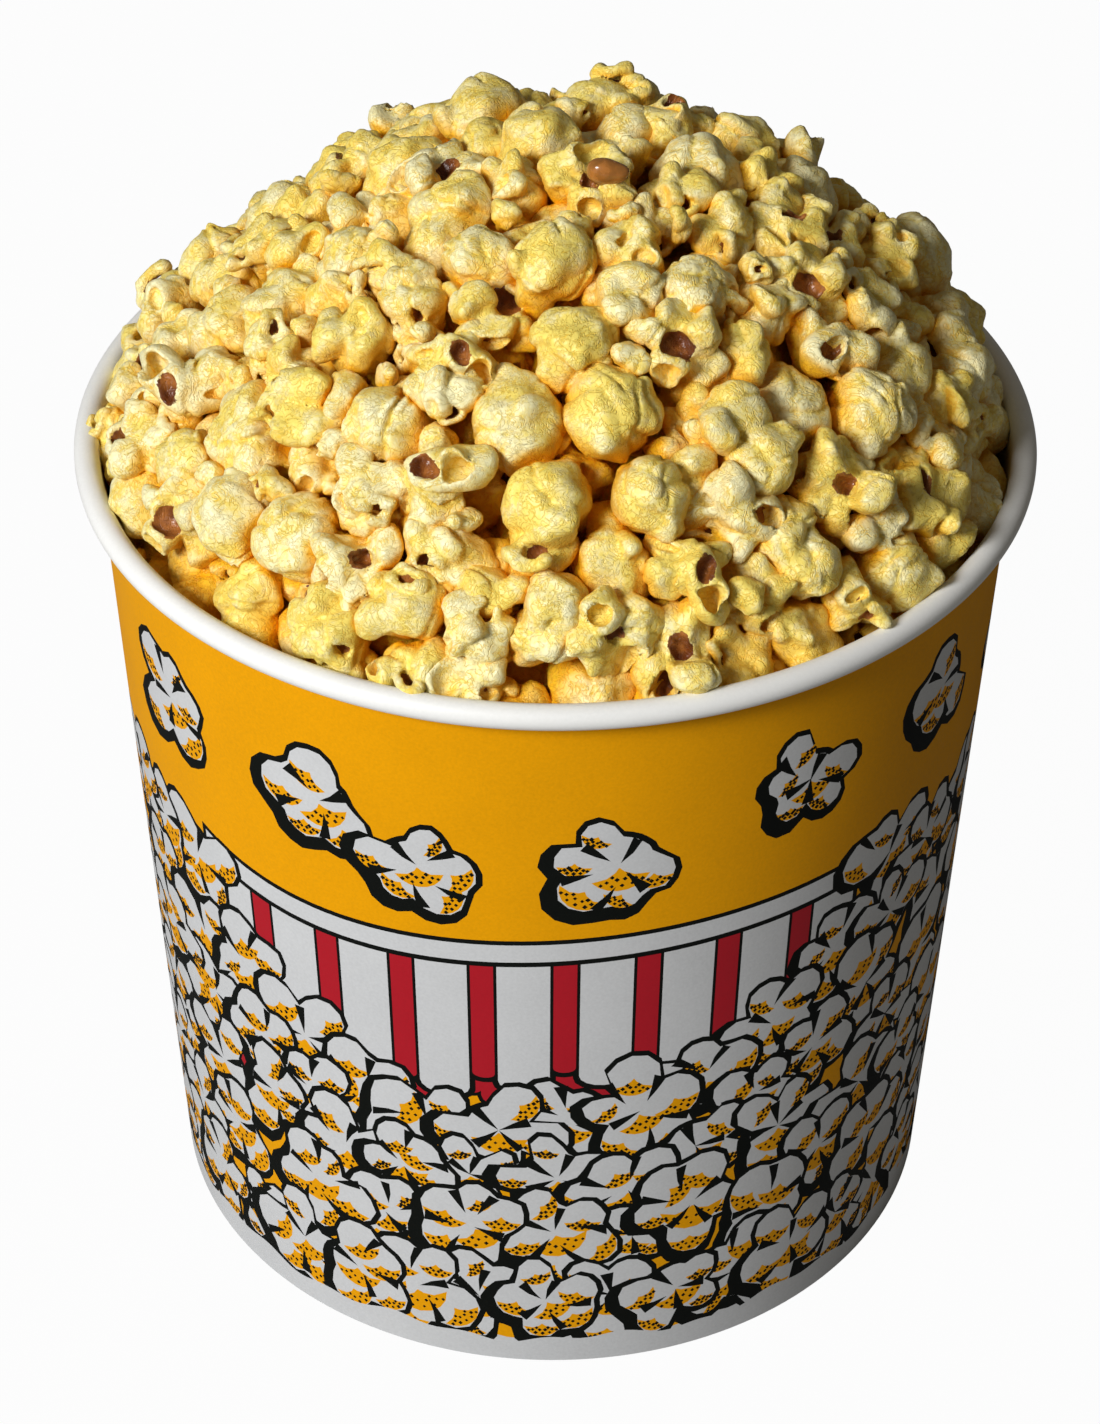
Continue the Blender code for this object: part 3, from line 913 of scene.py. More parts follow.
class Puff:
    """A popped flake as a distance field on a grid, in millimetres, built up lobe by lobe."""

    def __init__(self, seed, half=14.5, cell=0.46, warp=(0.9, 0.25)):
        self.draw = np.random.default_rng(seed)
        self.cell, self.half = cell, half
        axis = np.arange(-half, half + cell / 2, cell, dtype=np.float32)
        grid = np.stack(np.meshgrid(axis, axis, axis, indexing="ij"), -1)
        self.count = len(axis)
        shape = grid.shape[:3]
        for amount, size in zip(warp, WARP_SIZES):
            for channel in range(3):
                grid[..., channel] += amount * 0.55 * noise_volume(shape, size / cell, self.draw)
        self.at = grid
        self.body = np.full(shape, FAR_OFF, np.float32)
        self.bran = np.full(shape, FAR_OFF, np.float32)

    def window(self, centre, reach):
        """The part of the grid within reach of a point."""
        low = np.clip(((np.asarray(centre) - reach + self.half) / self.cell).astype(int), 0, self.count - 1)
        high = np.clip(((np.asarray(centre) + reach + self.half) / self.cell).astype(int) + 2, 1, self.count)
        return tuple(slice(first, last) for first, last in zip(low, high))

    def lobe(self, centre, radii, turn=None, panels=0, groove=0.0, folds=0, soft=0.45):
        """Adds an ellipsoid, its surface parted by grooves into panels and crossed by folds."""
        draw = self.draw
        centre, radii = np.asarray(centre, float), np.asarray(radii, float)
        turn = turned_to(any_way(draw), draw) if turn is None else turn
        where = self.window(centre, radii.max() + 3.0)
        q = (self.at[where] - centre) @ turn
        d = ellipsoid(q, radii)
        if panels or folds:
            level = q / np.linalg.norm(q, axis=-1, keepdims=True).clip(1e-6)
        if panels:
            seeds = np.stack([any_way(draw) for _ in range(panels)], 1)
            ways = np.sort(level @ seeds, axis=-1)
            edge = ways[..., -1] - ways[..., -2]
            d = d + groove * np.exp(-((edge / 0.10) ** 2)) - groove * 0.35 * np.minimum(edge / 0.35, 1.0)
        for _ in range(folds):
            across, along = any_way(draw), any_way(draw)
            offset = q @ across - draw.uniform(-0.45, 0.45) * radii.mean()
            there = np.clip((level @ along - draw.uniform(-0.1, 0.4)) * 4.0, 0.0, 1.0)
            d = d + draw.uniform(0.45, 0.95) * there * np.exp(-((offset / 0.46) ** 2))
        self.body[where] = merged(self.body[where], d.astype(np.float32), soft)

    def ring(self, centre, axis, major, minor, arc=1.0, wobble=0.18):
        """Adds a rolled lip: a ring, or part of one, of uneven thickness."""
        draw = self.draw
        turn = turned_to(unit(axis), draw)
        where = self.window(centre, major + minor + 2.5)
        q = (self.at[where] - np.asarray(centre)) @ turn
        angle = np.arctan2(q[..., 1], q[..., 0])
        lumps = wobble * (np.sin(3 * angle + draw.uniform(0, 6)) + np.sin(5 * angle + draw.uniform(0, 6)))
        oval = 1 + draw.uniform(0.08, 0.30) * np.cos(2 * angle + draw.uniform(0, 6))
        if arc < 1.0:
            kept = np.clip(angle, -math.pi * arc, math.pi * arc)
            side = q[..., :2] - (major * oval)[..., None] * np.stack([np.cos(kept), np.sin(kept)], -1)
            d = np.sqrt((side**2).sum(-1) + q[..., 2] ** 2)
        else:
            rise = 0.35 * minor * np.sin(2 * angle + draw.uniform(0, 6))
            d = np.hypot(np.hypot(q[..., 0], q[..., 1]) - major * oval, q[..., 2] - rise)
        self.body[where] = merged(self.body[where], (d - minor * (1 + lumps)).astype(np.float32), 0.35)

    def pocket(self, centre, axis, across, depth):
        """Cuts a pocket and lines one side of it with bran."""
        turn = turned_to(unit(axis), self.draw)
        where = self.window(centre, max(across, depth) + 2.0)
        q = (self.at[where] - np.asarray(centre)) @ turn
        d = ellipsoid(q, np.array([across, across * self.draw.uniform(0.5, 0.95), depth])).astype(np.float32)
        self.body[where] = -merged(-self.body[where], d, 0.4)
        lining = np.where(q[..., 2] + self.draw.uniform(0.2, 0.9) * q[..., 0] < depth * 0.1, d, FAR_OFF)
        self.bran[where] = np.minimum(self.bran[where], lining.astype(np.float32))

    def petal(self, centre, axis, radius, thick, bran=True):
        """Adds a curled flap: part of a hollow shell that opens along the axis, perhaps lined with bran."""
        draw = self.draw
        turn = turned_to(unit(axis), draw)
        where = self.window(centre, radius + 3.0)
        q = (self.at[where] - np.asarray(centre)) @ turn
        radii = radius * np.array([1.0, draw.uniform(0.7, 1.0), draw.uniform(0.65, 0.95)])
        open_at = np.array([draw.uniform(-0.25, 0.25), draw.uniform(-0.25, 0.25), draw.uniform(0.30, 0.5)]) * radius
        hollow = ellipsoid(q - open_at, np.maximum(radii - thick, 1.0)).astype(np.float32)
        shell = -merged(-ellipsoid(q, radii).astype(np.float32), hollow, 1.0)
        self.body[where] = merged(self.body[where], shell, 0.35)
        # the hollow stays open through whatever was there
        mouth = ellipsoid(q - open_at * 1.3, np.maximum(radii - thick - 0.3, 0.8)).astype(np.float32)
        self.body[where] = -merged(-self.body[where], mouth, 0.8)
        if bran:
            side = q[..., 2] + draw.uniform(0.1, 0.6) * q[..., 0] < 0.0
            lining = np.where(side, np.minimum(hollow, mouth), FAR_OFF)
            self.bran[where] = np.minimum(self.bran[where], lining.astype(np.float32))

    def mouth(self, centre, axis, major, minor, arc=1.0):
        """Adds a rolled lip round a pocket."""
        axis, centre = unit(axis), np.asarray(centre, float)
        self.ring(centre, axis, major, minor, arc)
        depth = major * 1.05
        self.pocket(centre - axis * (0.25 * depth), axis, max(major - minor * 0.4, 0.9), depth)

    def sizes(self, mean, spread_by=0.2):
        """Three radii about a mean."""
        return mean * self.draw.uniform(1 - spread_by, 1 + spread_by, 3)

    def knob(self, centre, low, high, **form):
        """Adds a small lobe with a mean radius between two."""
        self.lobe(centre, self.sizes(self.draw.uniform(low, high)), **form)


def round_flake(seed):
    """One big smooth head, a little folded, with a bulge, small lobes and perhaps a curled lip low down."""
    puff = Puff(seed, warp=(1.0, 0.09))
    draw = puff.draw
    size = draw.uniform(7.6, 9.2)
    radii = size * np.array([draw.uniform(0.94, 1.08), draw.uniform(0.88, 1.02), draw.uniform(0.84, 1.0)])
    panels, groove, folds = draw.integers(4, 8), draw.uniform(0.3, 0.6), draw.integers(3, 7)
    puff.lobe((0, 0, 0), radii, panels=panels, groove=groove, folds=folds, soft=0.25)
    if draw.random() < 0.6:
        way = unit(any_way(draw) + np.array([0, 0, -0.2]))
        bulge = draw.uniform(4.6, 6.4)
        puff.lobe(way * (size - 0.5 * bulge), puff.sizes(bulge, 0.12), panels=3, groove=0.3, folds=1, soft=0.22)
    for _ in range(draw.integers(1, 4)):
        way = unit(any_way(draw) + np.array([0, 0, -0.7]))
        small = draw.uniform(2.4, 4.2)
        puff.lobe(way * (size - small * 0.25), puff.sizes(small), panels=3, groove=0.25, soft=0.25)
    if draw.random() < 0.5:
        way = unit(any_way(draw) * [1, 1, 0.3] + np.array([0, 0, -0.25]))
        at = way * (size - 0.2)
        puff.mouth(at, way, draw.uniform(1.8, 2.5), draw.uniform(1.0, 1.4), draw.choice((0.7, 1.0)))
    return puff


def twin_flake(seed):
    """Two or three heads side by side, with small lobes and a curled lip or two between them."""
    puff = Puff(seed, warp=(0.95, 0.12))
    draw = puff.draw
    axis = unit([1, draw.uniform(-0.2, 0.2), draw.uniform(-0.2, 0.2)])
    big, less = draw.uniform(6.2, 7.6), draw.uniform(4.8, 6.4)
    puff.lobe(-axis * 3.6, puff.sizes(big, 0.12), panels=5, groove=0.45, folds=4, soft=0.22)
    aside = np.array([0, draw.uniform(-2, 2), draw.uniform(-1, 2)])
    puff.lobe(axis * 5.0 + aside, puff.sizes(less, 0.12), panels=3, groove=0.35, folds=2, soft=0.2)
    if draw.random() < 0.5:
        side = unit(np.cross(axis, any_way(draw)))
        radii = puff.sizes(draw.uniform(4.2, 5.2), 0.15)
        puff.lobe(side * 4.5 + axis, radii, panels=3, groove=0.3, folds=1, soft=0.2)
    for _ in range(draw.integers(1, 4)):
        side = unit(np.cross(axis, any_way(draw)))
        at = axis * draw.uniform(-2, 3) + side * draw.uniform(4.5, 6.5)
        puff.knob(at, 2.4, 4.0, panels=3, groove=0.3, soft=0.25)
    for _ in range(draw.integers(1, 3)):
        side = unit(np.cross(axis, any_way(draw)))
        at = axis * draw.uniform(-3, 6) + side * 6.0
        face = side + 0.4 * any_way(draw)
        puff.mouth(at, face, draw.uniform(1.8, 2.6), draw.uniform(1.0, 1.4), draw.choice((0.65, 1.0)))
    return puff


def curled_flake(seed):
    """A small heart with flaps and rolled lips curling round pockets, and smooth lobes between them."""
    puff = Puff(seed, warp=(1.0, 0.14))
    draw = puff.draw
    puff.lobe((0, 0, -2.0), puff.sizes(draw.uniform(4.2, 5.4), 0.1), panels=3, groove=0.4, folds=1)
    count = draw.integers(4, 7)
    start = draw.uniform(0, math.tau)
    for step in range(count):
        angle = start + math.tau * step / count + draw.uniform(-0.3, 0.3)
        way = unit([math.cos(angle), math.sin(angle), draw.uniform(-0.3, 0.5)])
        if step % 3 == 0:
            face = unit(way * 0.7 + np.array([0, 0, 1.0]) + 0.35 * any_way(draw))
            size, at = draw.uniform(1.7, 2.7), way * draw.uniform(4.0, 5.2)
            puff.mouth(at, face, size, draw.uniform(1.1, 1.5), draw.choice((0.6, 0.75, 1.0)))
        elif step % 3 == 1:
            puff.knob(way * draw.uniform(4.4, 5.8), 3.0, 4.6, panels=3, groove=0.3, folds=1, soft=0.2)
        else:
            face = unit(way + np.array([0, 0, 0.7]) + 0.5 * any_way(draw))
            at, size = way * draw.uniform(4.2, 5.4), draw.uniform(3.8, 5.2)
            puff.petal(at, face, size, draw.uniform(1.7, 2.2), draw.random() < 0.6)
    puff.knob((draw.uniform(-2, 2), draw.uniform(-2, 2), 2.0), 2.6, 3.8, panels=3, groove=0.3, soft=0.22)
    return puff


def winged_flake(seed):
    """Flattened wings and curled flaps spread from a small heart, with bran where they meet."""
    puff = Puff(seed, warp=(1.15, 0.14))
    draw = puff.draw
    puff.lobe((0, 0, 0), puff.sizes(draw.uniform(4.0, 5.0), 0.1), panels=3, groove=0.4)
    count = draw.integers(4, 7)
    for step in range(count):
        angle = math.tau * step / count + draw.uniform(-0.35, 0.35)
        way = unit([math.cos(angle), math.sin(angle), draw.uniform(-0.5, 0.7)])
        if step % 2:
            face = unit(way + np.array([0, 0, 0.9]) + 0.6 * any_way(draw))
            at, size = way * draw.uniform(4.8, 6.0), draw.uniform(4.2, 5.6)
            puff.petal(at, face, size, draw.uniform(1.7, 2.2), draw.random() < 0.5)
        else:
            radii = (draw.uniform(2.8, 3.8), draw.uniform(3.6, 5.0), draw.uniform(4.2, 5.8))
            turn = turned_to(way, draw)
            puff.lobe(way * draw.uniform(4.6, 6.2), radii, turn=turn, panels=3, groove=0.35, folds=2, soft=0.2)
        if draw.random() < 0.5:
            side = unit(np.cross(way, any_way(draw)))
            puff.knob(way * draw.uniform(7.5, 8.5) + side * 2.2, 2.0, 3.1, panels=2, groove=0.3)
    lean = (draw.uniform(-0.3, 0.3), draw.uniform(-0.3, 0.3), 1)
    puff.pocket((0, 0, 4.6), lean, draw.uniform(1.8, 2.6), 3.0)
    return puff


def cupped_flake(seed):
    """A big head torn open on one side, with the bran inside showing between curled edges."""
    puff = Puff(seed, warp=(0.9, 0.12))
    draw = puff.draw
    size = draw.uniform(6.6, 7.8)
    puff.lobe((0, 0, -2), size * np.array([1.05, 0.95, 0.8]), panels=4, groove=0.4, folds=3, soft=0.22)
    for step in range(3):
        angle = math.tau * step / 3 + draw.uniform(-0.4, 0.4)
        way = np.array([math.cos(angle), math.sin(angle), 0.0])
        face = unit(-0.5 * way + np.array([0, 0, 1.0]) + 0.3 * any_way(draw))
        if step < 2:
            at = way * draw.uniform(3.2, 4.4) + [0, 0, 2.4]
            puff.petal(at, face, draw.uniform(3.8, 5.0), draw.uniform(1.7, 2.1))
        else:
            puff.knob(way * 4.6 + [0, 0, 2.6], 2.8, 4.0, panels=3, groove=0.3, soft=0.22)
    for _ in range(draw.integers(1, 4)):
        angle = draw.uniform(0, math.tau)
        at = np.array([math.cos(angle), math.sin(angle), -0.1]) * (size - 0.3)
        puff.knob(at, 2.4, 3.6, panels=3, groove=0.4, soft=0.25)
    return puff


def rough_flake(seed):
    """A head covered in small knobs."""
    puff = Puff(seed, warp=(0.8, 0.22))
    draw = puff.draw
    core = np.array([1.2, 0.9, 0.75]) * draw.uniform(5.8, 7.0)
    puff.lobe((0, 0, 0), core, turn=np.eye(3))
    for _ in range(30):
        puff.knob(any_way(draw) * core * 0.95, 1.5, 3.0, soft=0.25)
    for _ in range(2):
        way = any_way(draw)
        puff.mouth(way * core * 1.05, way, draw.uniform(1.6, 2.2), 1.0)
    return puff


def small_bit(seed):
    """A broken piece of a flake."""
    puff = Puff(seed, half=8.5, warp=(0.7, 0.14))
    draw = puff.draw
    puff.knob((0, 0, 0), 2.6, 3.6, panels=3, groove=0.4)
    for _ in range(draw.integers(1, 4)):
        puff.knob(any_way(draw) * 3.0, 1.6, 2.6, panels=2, groove=0.3)
    if draw.random() < 0.4:
        way = any_way(draw)
        puff.mouth(way * 2.8, way, 1.5, 0.9)
    return puff


def kernel(seed):
    """A grain that has not popped: a flattened drop with a pale tip."""
    puff = Puff(seed, half=6.0, cell=0.4, warp=(0.25, 0.08))
    puff.lobe((0, 0, 0.4), (3.4, 2.5, 3.2), turn=np.eye(3), soft=1.2)
    puff.lobe((0, 0, -2.4), (1.6, 1.4, 2.2), turn=np.eye(3), soft=1.6)
    return puff


def surface_nets(field, cell, origin):
    """Points and quads of the zero surface of a distance field on a grid."""
    inside = field < 0
    size = np.array(field.shape) - 1
    count = sum(inside[i : size[0] + i, j : size[1] + j, k : size[2] + k].astype(np.int8) for i, j, k in CORNERS)
    crossed = (count > 0) & (count < 8)
    cells = np.argwhere(crossed)
    index = np.full(size, -1, np.int64)
    index[crossed] = np.arange(len(cells))
    total, hits = np.zeros((len(cells), 3)), np.zeros(len(cells))
    for corner in CORNERS:
        for axis in range(3):
            if corner[axis]:
                continue
            other = list(corner)
            other[axis] = 1
            here, there = field[tuple((cells + corner).T)], field[tuple((cells + other).T)]
            cut = (here < 0) != (there < 0)
            point = np.tile(np.array(corner, float), (len(cells), 1))
            point[:, axis] = np.where(cut, here / np.where(cut, here - there, 1.0), 0.0)
            total += np.where(cut[:, None], point, 0.0)
            hits += cut
    points = (cells + total / hits[:, None]) * cell + origin
    quads = []
    for axis in range(3):
        sides = [(axis + 1) % 3, (axis + 2) % 3]
        low, high = [slice(1, -1)] * 3, [slice(1, -1)] * 3
        low[axis], high[axis] = slice(0, -1), slice(1, None)
        first, second = inside[tuple(low)], inside[tuple(high)]
        steps = [np.eye(3, dtype=int)[side] for side in sides]
        for found, order in ((first & ~second, 1), (~first & second, -1)):
            at = np.argwhere(found) + steps[0] + steps[1]
            ring = [at - steps[0] - steps[1], at - steps[1], at, at - steps[0]][::order]
            quads.append(np.stack([index[tuple(corner.T)] for corner in ring], 1))
    return points, np.concatenate(quads)


def sampled(volume, points, puff):
    """The volume's value at each point."""
    at = (points + puff.half) / puff.cell
    base = np.clip(np.floor(at).astype(int), 0, np.array(volume.shape) - 2)
    part = np.clip(at - base, 0, 1)
    value = 0.0
    for corner in CORNERS:
        weight = np.prod(np.where(corner, part, 1 - part), axis=1)
        value = value + weight * volume[tuple((base + corner).T)]
    return value


def thinned(points, quads, triangles):
    """Points and triangles of the surface, cut down to about the number of triangles asked."""
    mesh = bpy.data.meshes.new("thinning")
    mesh.from_pydata(points.tolist(), [], quads.tolist())
    piece = bpy.data.objects.new("thinning", mesh)
    bpy.context.scene.collection.objects.link(piece)
    cut = piece.modifiers.new("thin", "DECIMATE")
    cut.ratio = min(1.0, triangles / (2.0 * len(quads)))
    shaped = piece.evaluated_get(bpy.context.evaluated_depsgraph_get()).to_mesh()
    shaped.calc_loop_triangles()
    where = np.empty(len(shaped.vertices) * 3, np.float32)
    shaped.vertices.foreach_get("co", where)
    faces = np.empty(len(shaped.loop_triangles) * 3, np.int32)
    shaped.loop_triangles.foreach_get("vertices", faces)
    bpy.data.objects.remove(piece)
    bpy.data.meshes.remove(mesh)
    return where.reshape(-1, 3), faces.reshape(-1, 3)


class Form:
    """One form of flake: its surface in full and plain, its looks at each point, and balls that fill it."""

    def __init__(self, puff, full, plain):
        points, quads = surface_nets(puff.body, puff.cell, -puff.half)
        bend = blurred(np.clip(puff.body, -4, 4), 3.3)
        self.levels = []
        for triangles in (full, plain):
            where, faces = thinned(points, quads, triangles)
            bran = np.clip(1 - (sampled(puff.bran, where, puff) - 0.25) / 0.5, 0, 1)
            crest = np.clip(0.5 + 0.9 * sampled(bend, where, puff), 0, 1)
            flat = np.cross(where[faces[:, 1]] - where[faces[:, 0]], where[faces[:, 2]] - where[faces[:, 0]])
            normals = np.zeros_like(where)
            for corner in range(3):
                np.add.at(normals, faces[:, corner], flat)
            normals /= np.linalg.norm(normals, axis=1, keepdims=True).clip(1e-9)
            self.levels.append((where, faces, bran, crest, normals))
        self.balls = filling_balls(puff)
        self.size = (3 * (puff.body < 0).sum() * puff.cell**3 / (4 * math.pi)) ** (1 / 3)


def filling_balls(puff, most=9):
    """Centres and radii of balls that fill the flake, the biggest first, padded with empty ones."""
    depth = -puff.body[::2, ::2, ::2].copy()
    axis = np.arange(depth.shape[0]) * puff.cell * 2 - puff.half
    where = np.stack(np.meshgrid(axis, axis, axis, indexing="ij"), -1)
    balls = []
    for _ in range(most):
        deepest = np.unravel_index(depth.argmax(), depth.shape)
        radius = float(depth[deepest])
        if radius < 0.9:
            break
        centre = where[deepest]
        balls.append((*centre, radius))
        depth[np.linalg.norm(where - centre, axis=-1) < radius * 1.05 + 0.5] = 0.0
    balls += [(0.0, 0.0, 0.0, -50.0)] * (most - len(balls))
    return np.array(balls)


# ------------------------------------------------------------------------------------------------- the heap

KINDS = (
    ("round", round_flake, 7, 0.27),
    ("twin", twin_flake, 7, 0.29),
    ("curled", curled_flake, 6, 0.17),
    ("winged", winged_flake, 5, 0.15),
    ("cupped", cupped_flake, 3, 0.07),
    ("rough", rough_flake, 2, 0.05),
)
# triangles of a flake at the top, of one lower down, of a bit and of a grain
FULL, PLAIN, BIT, GRAIN = 2600, 800, 600, 900
# a kind with more triangles than this is shared out over more pieces
SHARE = 150000
# how many small bits lie in the dips
BITS = 46
# sizes of the flakes against their forms, in the top layer and in the one under it
SCALES = ((0.96, 1.26), (0.92, 1.17))
# how readily a flake gives way: in the top layer, under it, and where it was laid from the given list
GIVE, GIVE_BY_HAND = (0.35, 0.65), 0.08
# how far other flakes may be and still shade a point, beyond their own reach, in millimetres
SHADED_FROM = 22.0
# the core: how far it lies under the heap's top in millimetres, and how many knobs are thrown over it
CORE_SUNK, KNOBS = 24.0, 420


class Heap:
    """The heap's form and the lay of its flakes, in millimetres from the centre of the foot."""

    def __init__(self, tub, settings):
        self.tub, self.settings = tub, settings
        self.top = tub.settings.height / MM
        self.height = settings.height / MM
        self.edge = settings.edge / MM
        self.peak = np.array([settings.peak / MM, 0.0])
        self.draw = np.random.default_rng(settings.seed)

    def rise(self, x, y):
        """Height of the heap's envelope over the rim."""
        away = np.stack([x - self.peak[0], y - self.peak[1]], -1)
        far = np.linalg.norm(away, axis=-1) + 1e-9
        out = away @ self.peak / far
        reach = np.sqrt(out**2 + self.edge**2 - self.peak @ self.peak) - out
        return self.height * (1 - np.minimum(far / reach, 1.0) ** self.settings.roundness)

    def under(self, x, y, depth):
        """The point square under the envelope at (x, y), and the envelope's normal there."""
        step = 0.5
        along = self.rise(x + step, y) - self.rise(x - step, y)
        back = self.rise(x, y + step) - self.rise(x, y - step)
        normal = unit([-along, -back, 2 * step])
        return np.array([x, y, self.top + self.rise(x, y)]) - normal * depth, normal

    def room(self, z):
        """Radius of the space inside the tub at height z."""
        return self.tub.wall(np.minimum(z, self.top - 3.0) * MM, self.tub.settings.board) / MM - 0.3


# flakes laid one by one before the others: how far to the right, to the back and proud of the heap (in millimetres),
# then kind, form and scale
LAID_BY_HAND = (
    (12, -24, 2.0, "cupped", 0, 1.05),
    (-41, -35, 2.0, "cupped", 1, 1.1),
    (-57, -14, 2.0, "round", 0, 1.12),
    (1, -28, 2.0, "round", 2, 1.05),
    (4, -48, 2.0, "round", 3, 1.0),
    (24, -46, 2.0, "winged", 1, 1.0),
    (-10, -61, 2.0, "round", 1, 1.1),
    (-34, -55, 2.0, "round", 4, 1.05),
    (53, -21, 2.0, "winged", 6, 1.0),
    (70, 8, 4.0, "cupped", 2, 1.05),
    (66, -38, 2.0, "round", 5, 1.12),
    (-2, -76, 2.0, "twin", 2, 1.1),
    (-66, -56, 2.0, "round", 6, 1.15),
    (-51, -47, 2.0, "curled", 3, 1.1),
    (58, -56, 2.0, "winged", 3, 1.05),
    (-14, 35, 3.0, "round", 2, 1.2),
    (13, 38, 7.0, "twin", 5, 1.1),
    (-34, 19, 0.0, "round", 3, 1.15),
    (38, 32, 2.0, "round", 0, 1.1),
    (38, -60, 2.0, "twin", 0, 1.15),
    (8, -5, 2.0, "winged", 0, 1.0),
    (76, 24, 5.0, "round", 3, 1.2),
    (84, -8, 3.0, "twin", 1, 1.05),
    (-2, 10, 3.0, "twin", 3, 1.1),
    (30, 8, 1.5, "round", 1, 1.05),
    (-22, -10, 1.0, "twin", 4, 1.1),
)
# where the grains lie: to the right and to the back
GRAINS = ((10, -9), (60, -8))


class Lay:
    """Flakes laid in the heap: form, place, turn and size of each."""

    def __init__(self):
        self.forms, self.places, self.turns, self.scales, self.layers = [], [], [], [], []

    def add(self, form, place, turn, scale, layer):
        self.forms.append(form)
        self.places.append(place)
        self.turns.append(turn)
        self.scales.append(scale)
        self.layers.append(layer)

    def balls(self):
        """Centres, from each flake's own centre, and radii of all its balls."""
        sets = np.stack([form.balls for form in self.forms])
        scales = np.array(self.scales)[:, None]
        centres = np.einsum("fij,fkj->fki", np.stack(self.turns), sets[..., :3]) * scales[..., None]
        return centres, sets[..., 3] * scales

    def filled(self):
        """Centres in the heap and radii of all the balls, in two plain lists."""
        offsets, radii = self.balls()
        centres = (np.stack(self.places)[:, None] + offsets).reshape(-1, 3)
        live = radii.ravel() > 0
        return centres[live], radii.ravel()[live]


def top_of(form, scale, turn, normal):
    """How far a flake reaches along the normal."""
    return ((form.balls[:, :3] * scale) @ turn.T @ normal + form.balls[:, 3] * scale).max()


def turn_facing(normal, draw, lean):
    """A turn that points a flake's top along the normal, leaning by up to an angle, at random about itself."""
    way = unit(normal + math.tan(min(lean, 1.4)) * draw.random() * any_way(draw))
    return turned_to(way, draw)


def lay_by_hand(heap, lay, forms):
    """Lays the chosen flakes at the top of the heap, facing out and a little to the front."""
    names = [name for name, *_ in KINDS]
    for x, y, proud, name, index, scale in LAID_BY_HAND:
        group = forms[names.index(name)]
        form = group[index % len(group)]
        spot, normal = heap.under(float(x), float(y), -proud)
        turn = turned_to(unit(normal + np.array([0.0, -0.7, 0.3])), heap.draw)
        lay.add(form, spot - normal * top_of(form, scale, turn, normal), turn, scale, 0)


def lay_layer(heap, lay, forms, layer, depth, spacing, tries, ring=None):
    """Throws flakes into one layer of the heap, each where there is room beside the others of that layer.

    A ring, given as lowest and highest height against the rim, lies along the wall instead.
    """
    draw = heap.draw
    weights = np.array([weight for *_, weight in KINDS])
    same = [index for index, other in enumerate(lay.layers) if other == layer]
    placed = [[*lay.places[index], lay.forms[index].size * lay.scales[index]] for index in same]
    placed = np.array(placed).reshape(-1, 4)
    for _ in range(tries):
        angle, out = draw.uniform(0, math.tau), (heap.edge - 1.0 - 0.4 * depth) * math.sqrt(draw.random())
        x, y = out * math.cos(angle), out * math.sin(angle)
        kind = draw.choice(len(KINDS), p=weights / weights.sum())
        form = forms[kind][draw.integers(len(forms[kind]))]
        scale = draw.uniform(*SCALES[layer])
        size = form.size * scale
        if ring:
            level = heap.top + draw.uniform(*ring)
            out = heap.room(level) - size * 0.98 - depth
            centre = np.array([out * math.cos(angle), out * math.sin(angle), level])
            normal = unit([math.cos(angle), math.sin(angle), 1.3])
            turn = turn_facing(normal, draw, 1.2)
        else:
            proud = draw.uniform(-2.6, 2.6) if heap.rise(x, y) < 0.9 * heap.height else draw.uniform(-0.5, 3.0)
            spot, normal = heap.under(x, y, depth + proud)
            turn = turn_facing(normal, draw, 1.35 if KINDS[kind][0] in ("round", "twin", "rough") else 0.9)
            centre = spot - normal * top_of(form, scale, turn, normal)
            level = np.hypot(centre[0], centre[1])
            centre[:2] *= min(1.0, (heap.room(centre[2]) - size * 0.95) / max(level, 1e-6))
        if len(placed) and (np.linalg.norm(placed[:, :3] - centre, axis=1) < spacing * (placed[:, 3] + size)).any():
            continue
        placed = np.vstack([placed, [*centre, size]])
        lay.add(form, centre, turn, scale, layer)


def push_apart(places, offsets, radii, weight, first, second):
    """Pushes the flakes of each pair apart, along the line between the two balls that meet deepest."""
    one = places[first][:, None] + offsets[first]
    two = places[second][:, None] + offsets[second]
    gap = one[:, :, None] - two[:, None]
    far = np.linalg.norm(gap, axis=-1) + 1e-6
    deep = radii[first][:, :, None] + radii[second][:, None] - far - 0.25
    flat = deep.reshape(len(first), -1)
    pairs, worst = np.arange(len(first)), flat.argmax(1)
    way = gap.reshape(len(first), -1, 3)[pairs, worst] / far.reshape(len(first), -1)[pairs, worst][:, None]
    push = np.maximum(flat[pairs, worst], 0.0)[:, None] * way * 0.8
    share = (weight[first] / (weight[first] + weight[second]))[:, None]
    move = np.zeros_like(places)
    np.add.at(move, first, push * share)
    np.add.at(move, second, -push * (1 - share))
    most = np.linalg.norm(move, axis=1, keepdims=True)
    places += move * np.minimum(1.0, 1.2 / np.maximum(most, 1e-6))


def keep_under(heap, places, offsets, radii, proud_by):
    """Draws flakes in where they stand out of the heap's envelope by more than they may."""
    balls = places[:, None] + offsets
    x, y = balls[..., 0], balls[..., 1]
    proud = balls[..., 2] + radii - heap.top - heap.rise(x, y) - proud_by[:, None]
    rows, index = np.arange(len(places)), proud.argmax(1)
    x, y = x[rows, index], y[rows, index]
    along = heap.rise(x + 1, y) - heap.rise(x - 1, y)
    back = heap.rise(x, y + 1) - heap.rise(x, y - 1)
    slope = np.stack([along, back], 1) / 2
    flat = 1 / np.sqrt(1 + (slope**2).sum(1))
    down = (proud[rows, index] * flat * 0.6).clip(0.0, 2.0) * flat
    places[:, 2] -= down
    places[:, :2] += slope * down[:, None]


